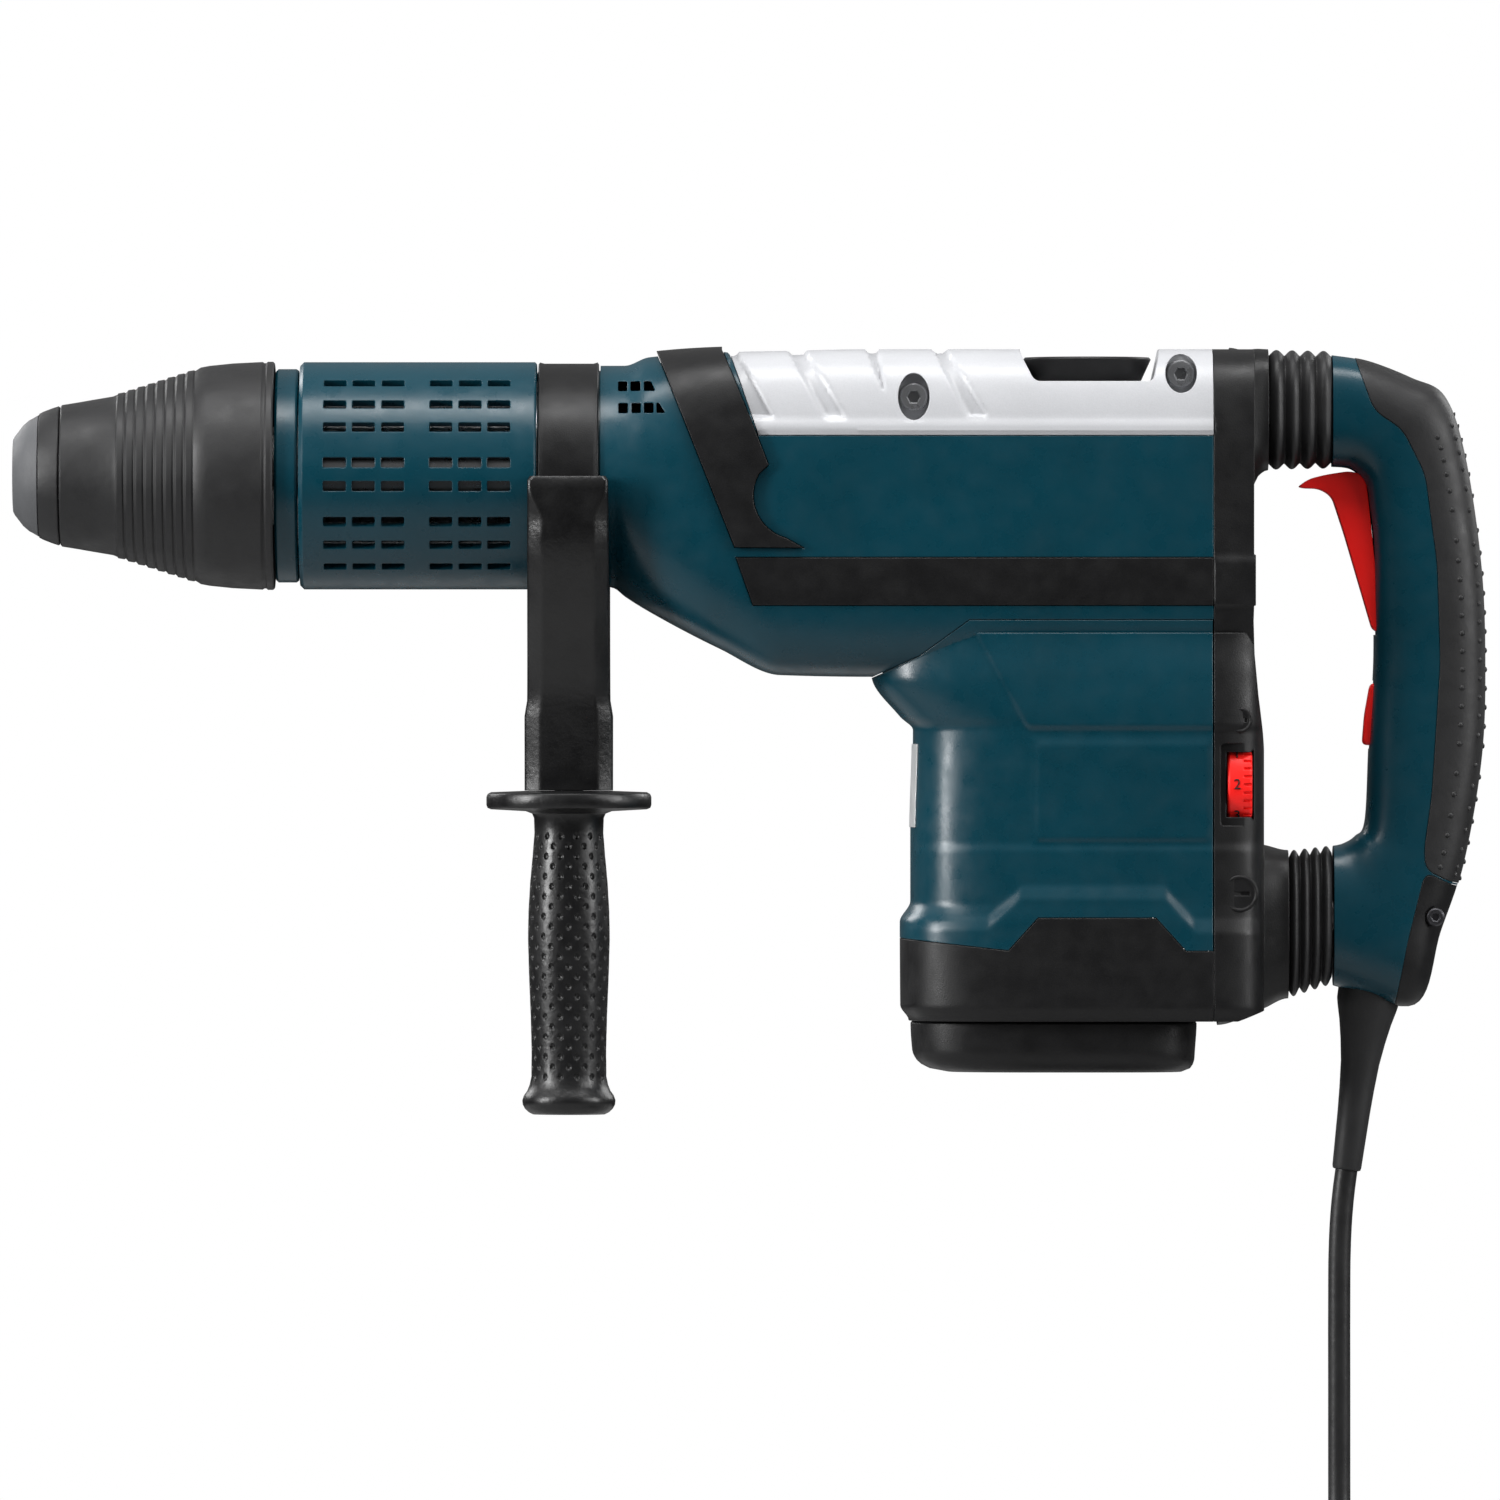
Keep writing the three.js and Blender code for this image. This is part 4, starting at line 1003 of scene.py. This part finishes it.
def make_side_bands():
    for side_name, ys in (("left", (-90, 0)), ("right", (0, 90))):
        band = cut(body(-0.5), body(BAND_DEPTH))
        common(band, prism("outline", BAND_OUTLINE), block("half", (0, 400), ys, (-100, 0)))
        band.name = f"side_strip_{side_name}"
        finish_piece(band, BLACK, "housing", "black_plastic", f"side_band_{side_name}")


def make_motor_housing():
    housing = common(copy_of(SHELL), prism("outline", inset(MOTOR_OUTLINE, SEAM)))
    housing.name = "motor_housing_cover"
    return finish_piece(housing, TEAL, "housing", "teal_shell", "motor_housing")


def make_base():
    cover = common(copy_of(SHELL), prism("outline", BASE_OUTLINE))
    tower = cut(rod("tower", "Z", -227, -207, 16.5, (MOTOR_X, 0, 0)),
                rod("seat", "Z", -216.6, -200, 13.3, (MOTOR_X, 0, 0)))
    join(cover, tower)
    cover.name = "base_cover_shell"
    finish_piece(cover, BLACK, "housing", "black_plastic", "base_cover")
    rings = []
    for z, front, rear, half in smoothed([
        (-227.8, 143.4, 261.6, 45.5), (-228.6, 142.8, 262.2, 46.2), (-240, 143.5, 261.5, 46),
        (-244, 145.3, 261.2, 45), (-247.4, 150.5, 259.5, 42.5), (-248.8, 158, 256, 40),
    ], 1.5):
        rings.append(oval(((front + rear) / 2, 0, z), ((rear - front) / 2, 0, 0), (0, half, 0),
                          3.2, 4, 192))
    foot = skin("foot_pad", rings)
    finish_piece(foot, BLACK, "housing", "black_plastic", "base_foot")


def guide_holes(low, high, radius):
    return [rod("guide_hole", "X", low, high, radius, (0, 0, z)) for z in ROD_HEIGHTS]


def arm(name, rows):
    """An arm towards the rear handle, along X: [x, middle Z, height, half width]."""
    return skin(name, [oval((x, 0, z), (0, half, 0), (0, 0, height / 2), 3, count=96)
                       for x, z, height, half in smoothed(rows, 1.5)])


WHEEL_PLACE, WHEEL_R, WHEEL_WIDTH = (279.4, -30, -129), 20, 10.2


def make_rear_frame():
    frame_body = join(copy_of(OUTER_UPPER), copy_of(OUTER_LOWER))
    common(frame_body, prism("outline", REAR_OUTLINE))
    upper = arm("upper", [(276, 16.5, 74, 30), (282, 17, 70, 27), (284.6, 22, 61.5, 25.4),
                          (288, 26.4, 53.4, 24), (292.1, 27.6, 50.6, 23)])
    lower = arm("lower", [(271, -190.5, 78, 33), (281, -190, 74, 29), (290.5, -188.4, 68.4, 25.5),
                          (300.5, -187.4, 62, 23)])
    join(frame_body, upper, lower)
    x, y, z = WHEEL_PLACE
    reach = WHEEL_WIDTH / 2 + 0.6
    window = rounded([(x - 8.2, z - 17.2), (x + 8.6, z - 17.2), (x + 8.6, z + 17.2),
                      (x - 8.2, z + 17.2)], 2)
    hollow = common(copy_of(CAVITY), block("front", (0, 281), (-90, 90), (-300, 100)))
    cut(frame_body, hollow, *guide_holes(260, 310, 6.4), prism("window", window, "XZ", -70, -47.5),
        block("opening", (x - reach, x + reach), (-70, y), (z - 13.5, z + 13.5)),
        rod("wheel", "X", x - reach, x + reach, WHEEL_R + 0.6, (0, y, z)))
    frame_body.name = "rear_frame_shell"
    return finish_piece(frame_body, BLACK, "housing", "black_plastic", "rear_frame")


def make_trims():
    """Blank rating label on the front, a plug and a slotted disc on the rear frame."""
    label = cut(lower_body(-0.45, 1.5, 320), lower_body(-0.1, 1.5, 320))
    common(label, block("label_area", (130, 149.4), (-24, 24), (-146.8, -112.1)))
    label.name = "rating_label_blank"
    finish_piece(label, LABEL, "housing", "cast_aluminium")
    for name, x, z, radius, y in (("frame_plug", 279.3, -102.2, 5.4, -48.2),
                                  ("frame_disc", 279.3, -174.3, 7.7, -49.4)):
        disc = turned(name, [(y + 9, 0), (y + 9, radius), (y - 0.2, radius),
                             (y - 0.7, radius - 0.5), (y - 0.7, radius - 1.1),
                             (y - 0.2, radius - 1.5), (y - 0.2, 0)], "Y", (x, 0, z), 64)
        cut(disc, block("slot", (x - radius * 0.55, x + radius * 0.55), (y - 5, y + 0.7),
                        (z - 0.8, z + 0.8)))
        finish_piece(disc, BLACK, "housing", "black_plastic")


def make_gasket():
    """A strip behind the seam between the gear and motor housings, which closes its gap."""
    upper = [(x, z + 3) for x, z in MOTOR_TOP]
    lower = [(x, z - 3) for x, z in reversed(MOTOR_TOP)]
    strip = common(prism("strip", upper + lower), body(WALL + 0.15, CAVITY_FRONT_X))
    cut(strip, body(WALL + 1.2, CAVITY_FRONT_X))
    strip.name = "seam_gasket"
    finish_piece(strip, RUBBER, "housing", "black_rubber")


make_gear_housing()
make_front_pad()
make_top_cover()
make_cover_screws()
make_side_bands()
make_motor_housing()
make_base()
make_rear_frame()
make_trims()
make_gasket()
for spare in (OUTER_UPPER, OUTER_LOWER, CAVITY, SHELL):
    bpy.data.objects.remove(spare)


# ---- Rear handle ----

# Stations round the D: [inner x, inner z, outer x, outer z, half width].
HANDLE_STATIONS = [
    (318.9, 3.2, 318.9, 50.4, 22), (327, 2, 334, 47.8, 21.5), (332.5, -4, 352, 40.8, 21),
    (334, -14, 366, 33, 20.5), (335.5, -28, 374.5, 8, 20), (336, -50, 381.1, -36.8, 19.5),
    (336.2, -78, 382.8, -77, 19), (334.2, -112, 381.4, -117, 19),
    (332.6, -143.9, 374, -161, 20), (328.5, -150.5, 364.4, -190.4, 21),
    (323.6, -153.6, 353.5, -221, 22), (319.4, -154.6, 319.4, -213, 22),
]
STATION_STEPS = 10
HANDLE_POWER = 2.8  # squareness of the handle's section
RUBBER_OUTLINE = [
    (328.2, 60), (328.2, 48.6), (335.9, 26.9), (347.8, 19.2), (357.3, 0.4), (362.3, -37.2),
    (363.6, -78), (360, -133.5), (356.8, -156.2), (357.5, -164.5), (369.5, -170.5),
    (400, -170.5), (400, 60),
]
RUBBER_EDGE = [(z, x) for x, z in RUBBER_OUTLINE[10:0:-1]]  # its front edge, upwards
END_CAP_OUTLINE = [
    (357.2, -165.2), (369.2, -171.2), (400, -171.2), (400, -240), (341, -240), (350, -194),
]
COVER_DEPTH = 2.5
CAP_SCREW = (361.7, -184.3)
SLEEVE_TOP, SLEEVE_BOTTOM = (334.6, 0, -214.5), (325, 0, -290.1)


def along_stations(stations, steps):
    """The stations filled in by a smooth curve through them (Catmull-Rom)."""
    result = []
    for i in range(len(stations) - 1):
        a, b = stations[i], stations[i + 1]
        before = stations[i - 1] if i else a
        after = stations[i + 2] if i + 2 < len(stations) else b
        for step in range(steps):
            t = step / steps
            result.append([
                q + 0.5 * t * (r - p + t * (2 * p - 5 * q + 4 * r - s + t * (3 * (q - r) + s - p)))
                for p, q, r, s in zip(before, a, b, after)
            ])
    return result + [list(stations[-1])]


def station_frame(station, thickness=0, shift=0):
    """Centre, half axis from the inner to the outer side, and half width of a station."""
    xi, zi, xo, zo, half = station
    u = Vector((xo - xi, 0, zo - zi)) / 2
    u.length -= thickness
    return Vector(((xi + xo) / 2 + shift, 0, (zi + zo) / 2)), u, half - thickness


def handle_body(thickness=0, count=96):
    stations = along_stations(HANDLE_STATIONS, STATION_STEPS)
    rings = []
    for i, station in enumerate(stations):
        shift = max(thickness, 0) if i in (0, len(stations) - 1) else 0
        centre, u, half = station_frame(station, thickness, shift)
        rings.append(oval(centre, u, (0, half, 0), HANDLE_POWER, count=count))
    return skin("handle_body", rings)


def cone_between(name, top, bottom, profile, sides=64):
    """A turned shape (along, radius) on the axis from top to bottom."""
    direction = (Vector(bottom) - Vector(top)).normalized()
    turn = Vector((0, 0, 1)).rotation_difference(direction).to_matrix().to_4x4()
    place = Matrix.Translation(Vector(top) * MM) @ turn
    return moved(turned(name, profile, "Z", (0, 0, 0), sides), place)


def sleeve_hole():
    return cone_between("hole", SLEEVE_TOP, SLEEVE_BOTTOM,
                        [(-6, 0), (-6, 13.3), (12, 13.3), (12, 0)])


def handle_covering(name, outline, stand_out=0.0):
    covering = cut(handle_body(-stand_out), handle_body(COVER_DEPTH - SEAM))
    common(covering, prism("outline", rounded(inset(outline, GAP), 5, 6)))
    cut(covering, sleeve_hole())
    covering.name = name
    return covering


def make_handle_shells():
    whole = handle_body()
    covered = join(prism("rubber", rounded(RUBBER_OUTLINE, 5, 6)),
                   prism("cap", rounded(END_CAP_OUTLINE, 5, 6)))
    cut(covered, handle_body(COVER_DEPTH))
    cut(whole, handle_body(4.7), covered, *guide_holes(310, 330, 6.3),
        block("trigger_slot", (300, 352), (-8.8, 8.8), (-66.5, 9)),
        block("lock_slot", (322, 352), (-6.6, 6.6), (-114, -85.5)), sleeve_hole())
    for side, ys in (("left", (-60, -GAP)), ("right", (GAP, 60))):
        half = common(copy_of(whole), block("half", (280, 420), ys, (-300, 100)))
        half.name = f"handle_half_{side}"
        finish_piece(half, TEAL, "rear_handle", "teal_shell", f"handle_shell_{side}")
    bpy.data.objects.remove(whole)


def handle_surface(t, angle):
    """A point and the outward normal on the handle at station number t and an angle in degrees.

    The angle is 0 on the outer side of the D and 90 on its right-hand side.
    """
    stations = along_stations(HANDLE_STATIONS, STATION_STEPS)
    centre, u, half = station_frame(stations[round(t * STATION_STEPS)])
    along, across = on_oval(math.radians(angle), HANDLE_POWER)
    point = centre + u * along + Vector((0, half * across, 0))
    steep = math.copysign(abs(along) ** (HANDLE_POWER - 1), along) / u.length
    sideways = math.copysign(abs(across) ** (HANDLE_POWER - 1), across) / half
    return point, (u.normalized() * steep + Vector((0, sideways, 0))).normalized()


def make_grip_rubber():
    rubber = handle_covering("grip_cover", RUBBER_OUTLINE, 0.25)
    finish_piece(rubber, RUBBER, "rear_handle", "black_rubber", "rear_grip_rubber")
    cap = handle_covering("lower_end_cap", END_CAP_OUTLINE)
    x, z = CAP_SCREW
    cut(cap, rod("recess", "Y", -60, -17.2, 4.6, (x, 0, z)))
    finish_piece(cap, BLACK, "rear_handle", "black_plastic", "handle_end_cap")
    screw = turned("cap_screw", [(-17.2, 0), (-17.2, 3.6), (-18.6, 3.8), (-19.2, 3.2), (-19.2, 0)],
                   "Y", (x, 0, z), 48)
    cut(screw, hex_socket(x, z, 1.9, -22, -18.2))
    finish_piece(screw, DARK_STEEL, "rear_handle", "blackened_steel")


def make_grip_dots():
    """Staggered rows of dots along each side of the rubber and on its back."""
    places = []
    first, last, rows = 3.4, 8.2, 24
    for i in range(rows):
        for angle in (-58, -36, -12, 12, 36, 58):
            shift = 0.5 if abs(angle) == 36 else 0
            t = min(first + (last - first) * (i + shift) / (rows - 1), last)
            point, normal = handle_surface(t, angle)
            if value_at(RUBBER_EDGE, point.z) + 4.5 < point.x:
                places.append((point + normal * 0.25, normal, (0, 0, 1), 1.0))
    dots = dome_field("grip_dots", places, 1.35, 0.75)
    finish_piece(dots, RUBBER, "rear_handle", "black_rubber")


def make_bellows():
    """Ribbed rubber sleeves between the body and the sprung rear handle, built as fixed shapes."""
    for name, front, rear, ribs in (
        ("upper_bellows", (292.4, 27.6, 49.6, 23), (318.6, 27.6, 48.6, 23), 4),
        ("lower_bellows", (300.8, -187.4, 61, 23), (318.6, -183.5, 57.5, 23), 4),
    ):
        steps = ribs * 12
        outer, inner = [], []
        for i in range(steps + 1):
            t = i / steps
            x, z, height, half = (p + (q - p) * t for p, q in zip(front, rear))
            wave = 0.5 - 0.5 * math.cos(2 * math.pi * ribs * t)
            scale = 0.91 + 0.10 * wave**0.6
            outer.append(oval((x, 0, z), (0, half * scale, 0), (0, 0, height / 2 * scale), 3))
            inner.append(oval((x, 0, z), (0, half * 0.8, 0), (0, 0, height / 2 * 0.8), 3))
        piece = looped_skin(name + "_cover", outer + inner[::-1], 50)
        piece.data.materials.append(RUBBER)
        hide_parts(name)
        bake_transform(piece)


def make_strain_relief():
    length = (Vector(SLEEVE_BOTTOM) - Vector(SLEEVE_TOP)).length
    rings = [
        (0, 5.05), (0, 13), (5, 13), (8, 12.4), (14, 10.9), (22, 9.4), (31, 8.1), (42, 7.3),
        (52, 6.8), (length - 1.5, 6.1), (length - 0.3, 5.8), (length, 5.05),
    ]
    sleeve = cone_between("cord_sleeve", SLEEVE_TOP, SLEEVE_BOTTOM, rings)
    return finish_piece(sleeve, RUBBER, "rear_handle", "black_rubber", "strain_relief")


# ---- Trigger, lock button and knobs ----

TRIGGER_OUTLINE = [
    (304.7, -4.6), (309, -1.4), (316, 0.4), (326.5, 2), (332.5, 0), (333.7, -7.3),
    (336.7, -37.2), (341, -50), (341, -62), (337.6, -65.4), (335.5, -63.6), (324, -24.4),
    (318.8, -8.6), (313.7, -5.4), (307, -5.2),
]
LOCK_OUTLINE = [(334.8, -86.6), (341, -86.6), (341, -112.6), (331.4, -112.6), (332.4, -100)]


def make_buttons():
    trigger = prism("trigger_lever", rounded(TRIGGER_OUTLINE, 4, 6), "XZ", -8.2, 8.2)
    bevelled(trigger, 1.6, 4)
    finish_piece(trigger, RED, "trigger", "red_plastic", "trigger")
    lock = prism("lock_slider", rounded(LOCK_OUTLINE, 2.5, 5), "XZ", -6, 6)
    bevelled(lock, 1.2, 3)
    finish_piece(lock, RED, "lock_button", "red_plastic", "lock_button")


def make_speed_wheel():
    """A thumbwheel with flutes along one edge of its rim."""
    x, y, z = WHEEL_PLACE
    half = WHEEL_WIDTH / 2
    wheel = turned("thumbwheel", [
        (x - half, 4), (x - half, WHEEL_R - 1.2), (x - half + 0.8, WHEEL_R - 0.4),
        (x + half - 0.8, WHEEL_R - 0.4), (x + half, WHEEL_R - 1.2), (x + half, 4),
    ], "X", (0, y, z), 180)
    flutes = []
    for i in range(36):
        angle = math.radians(10 * i)
        flute = block("flute", (x + half - 3.6, x + half + 1), (-0.55, 0.55),
                      (WHEEL_R - 1.3, WHEEL_R + 1))
        turn = Matrix.Translation(Vector((0, y, z)) * MM) @ Matrix.Rotation(angle, 4, "X")
        flutes.append(moved(flute, turn))
    cut(wheel, merged("flutes", flutes))
    finish_piece(wheel, RED, "speed_wheel", "red_plastic", "speed_wheel")


def digit_object(number):
    """A raised digit as a mesh, flat on the XY plane."""
    font = bpy.data.curves.new(f"digit_{number}", "FONT")
    font.body = str(number)
    font.size = 6.2 * MM
    font.extrude = 0.2 * MM
    font.align_x, font.align_y = "CENTER", "CENTER"
    text = bpy.data.objects.new(f"digit_{number}", font)
    bpy.context.collection.objects.link(text)
    graph = bpy.context.evaluated_depsgraph_get()
    mesh = bpy.data.meshes.new_from_object(text.evaluated_get(graph))
    bpy.data.objects.remove(text)
    digit = bpy.data.objects.new(f"digit_{number}", mesh)
    bpy.context.collection.objects.link(digit)
    return digit


def make_dial_numbers():
    """The numbers 1 to 6 round the thumbwheel's rim, with 2 in front."""
    x, y, z = WHEEL_PLACE
    digits = []
    for i in range(1, 7):
        upright = Matrix.Rotation(math.radians(90), 4, "X")
        out = Matrix.Translation(Vector((x - 1.2, -(WHEEL_R - 0.35), 0)) * MM)
        turn = Matrix.Rotation(math.radians(40 * (i - 2)), 4, "X")
        place = Matrix.Translation(Vector((0, y, z)) * MM)
        digits.append(moved(digit_object(i), place @ turn @ out @ upright))
    numbers = merged("dial_numbers", digits)
    finish_piece(numbers, DARK_PRINT, "speed_wheel", "black_plastic")


def make_mode_knob():
    """A hollowed round knob with a raised grip bar across it and a pale mark on the bar."""
    knob = turned("mode_selector", [
        (30, 0), (30, 4.9), (39.2, 4.9), (39.2, 22.0), (40, 22.8), (48.5, 26.7), (49.4, 26.0),
        (49.4, 0),
    ], "Z", (KNOB_X, 0, 0), 160)
    hollow = rod("hollow", "Z", 45.4, 60, 23.2, (KNOB_X, 0, 0), 160)
    bar = bevelled(prism("bar", rounded([
        (KNOB_X - 24, -5), (KNOB_X + 24, -5), (KNOB_X + 24, 5), (KNOB_X - 24, 5)], 4.2, 8),
        "XY", 44, 49.2), 1.0, 3)
    cut(knob, hollow)
    join(knob, bar)
    knob.name = "mode_selector"
    finish_piece(knob, BLACK, "mode_knob", "black_plastic", "mode_knob")
    pointer = block("pointer_mark", (KNOB_X + 12, KNOB_X + 22), (-0.8, 0.8), (49.0, 49.35))
    finish_piece(pointer, WHITE_PRINT, "mode_knob", "black_plastic")


make_handle_shells()
make_grip_rubber()
make_grip_dots()
make_bellows()
make_strain_relief()
make_buttons()
make_speed_wheel()
make_dial_numbers()
make_mode_knob()


# ---- Side handle ----

# Saddle block: [Z, half width along X, half depth along Y, chamfer along X, chamfer along Y].
SADDLE_ROWS = [
    (-131.5, 18.4, 18, 6.5, 4.5), (-100.5, 18.4, 21.5, 6.5, 4.5), (-94, 17.3, 22.6, 6.3, 4.5),
    (-84, 17.2, 26, 6.3, 4.5), (-54, 17, 46, 6.3, 4.5), (-20, 16.9, 57, 6.3, 4.5),
    (-6, 16.8, 57.5, 1.2, 1.0), (-2.5, 16.8, 57.5, 1.2, 1.0), (-0.8, 15.8, 56.5, 1.2, 1.0),
]


def make_side_clamp():
    band = turned("clamp_strap", [
        (-12.6, 44.3), (-12.6, 46.6), (-12.0, 47.4), (-11.0, 47.1), (-10.2, 46.9), (10.2, 46.9),
        (11.0, 47.1), (12.0, 47.4), (12.6, 46.6), (12.6, 44.3),
    ])
    finish_piece(band, BLACK, "side_clamp", "black_plastic", "clamp_band")
    rings = []
    for z, wide, deep, cx, cy in smoothed(SADDLE_ROWS, 3):
        corner = [(wide, deep - cy), (wide - cx, deep), (cx - wide, deep), (-wide, deep - cy)]
        ring = corner + [(-x, -y) for x, y in corner]
        rings.append([(x, y, z) for x, y in rounded(ring, 1.2, 4)])
    saddle = skin("saddle", rings)
    cut(saddle, rod("barrel", "X", -30, 30, 47.95, sides=160), rod("bolt", "Z", -140, -40, 6.3),
        rod("bolt_head", "Z", -72, -30, 11.6))
    saddle.name = "saddle_body"
    finish_piece(saddle, GRIP, "side_clamp", "black_plastic", "saddle_block")


GRIP_PROFILE = [  # (Z, radius)
    (-131.6, 6.3), (-131.6, 17), (-132.2, 32.6), (-133, 34), (-134.2, 34.5), (-137.6, 34.5),
    (-138.8, 34), (-139.4, 32.6), (-140.2, 18), (-141.2, 15.4), (-143, 14.6), (-149, 14.4),
    (-158, 15.1), (-170, 16.2), (-182, 16.9), (-193, 17.1), (-208, 16.7), (-225, 16),
    (-240, 15.6), (-251, 15.7), (-254.5, 16.4), (-257, 17.4), (-259, 18.8), (-261, 19.5),
    (-262.8, 19.3), (-264.5, 18.4), (-266, 16.8), (-266.9, 15), (-266.9, 0), (-160, 0),
    (-160, 6.3),
]


PITTED = GRIP_PROFILE[25:8:-1]  # the part of the profile that carries the pits, upwards
PITS_FROM, PITS_TO = -150.5, -251


def make_side_grip():
    grip = turned("grip_body", GRIP_PROFILE, "Z", sides=128)
    places = []
    rows, columns = 25, 14
    for row in range(rows):
        z = PITS_FROM + (PITS_TO - PITS_FROM) * row / (rows - 1)
        radius = value_at(PITTED, z)
        for column in range(columns):
            angle = 2 * math.pi * (column + 0.5 * (row % 2)) / columns
            inwards = (-math.cos(angle), -math.sin(angle), 0)
            point = (-radius * inwards[0], -radius * inwards[1], z)
            places.append((point, inwards, (0, 0, 1), 1.25))
    cut(grip, dome_field("pits", places, 1.3, 0.9, sides=12))
    finish_piece(grip, GRIP, "side_grip", "black_plastic", "side_grip")


# ---- Inner pieces, which keep their own shapes ----

INNER_FINISHES = {
    STEEL: ["tool_holder", "spindle_tube", "spindle_ring_gear", "locking_spring", "striking_pin",
            "striker", "piston", "connecting_rod", "crank_gear", "intermediate_gear",
            "armature_shaft", "motor_bearing_upper", "motor_bearing_lower", "upper_guide_rod",
            "lower_guide_rod"],
    DARK_STEEL: ["clamp_bolt"],
    IRON: ["armature_core", "stator"],
    COPPER: ["commutator"],
    CARBON: ["carbon_brush_left", "carbon_brush_right"],
    BLACK: ["motor_fan", "switch_block"],
    SILVER: ["gearbox_floor"],
}


def finish_inner_pieces():
    for finish, names in INNER_FINISHES.items():
        for name in names:
            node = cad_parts[name]
            node.data.materials.clear()
            node.data.materials.append(finish)


make_side_clamp()
make_side_grip()
finish_inner_pieces()
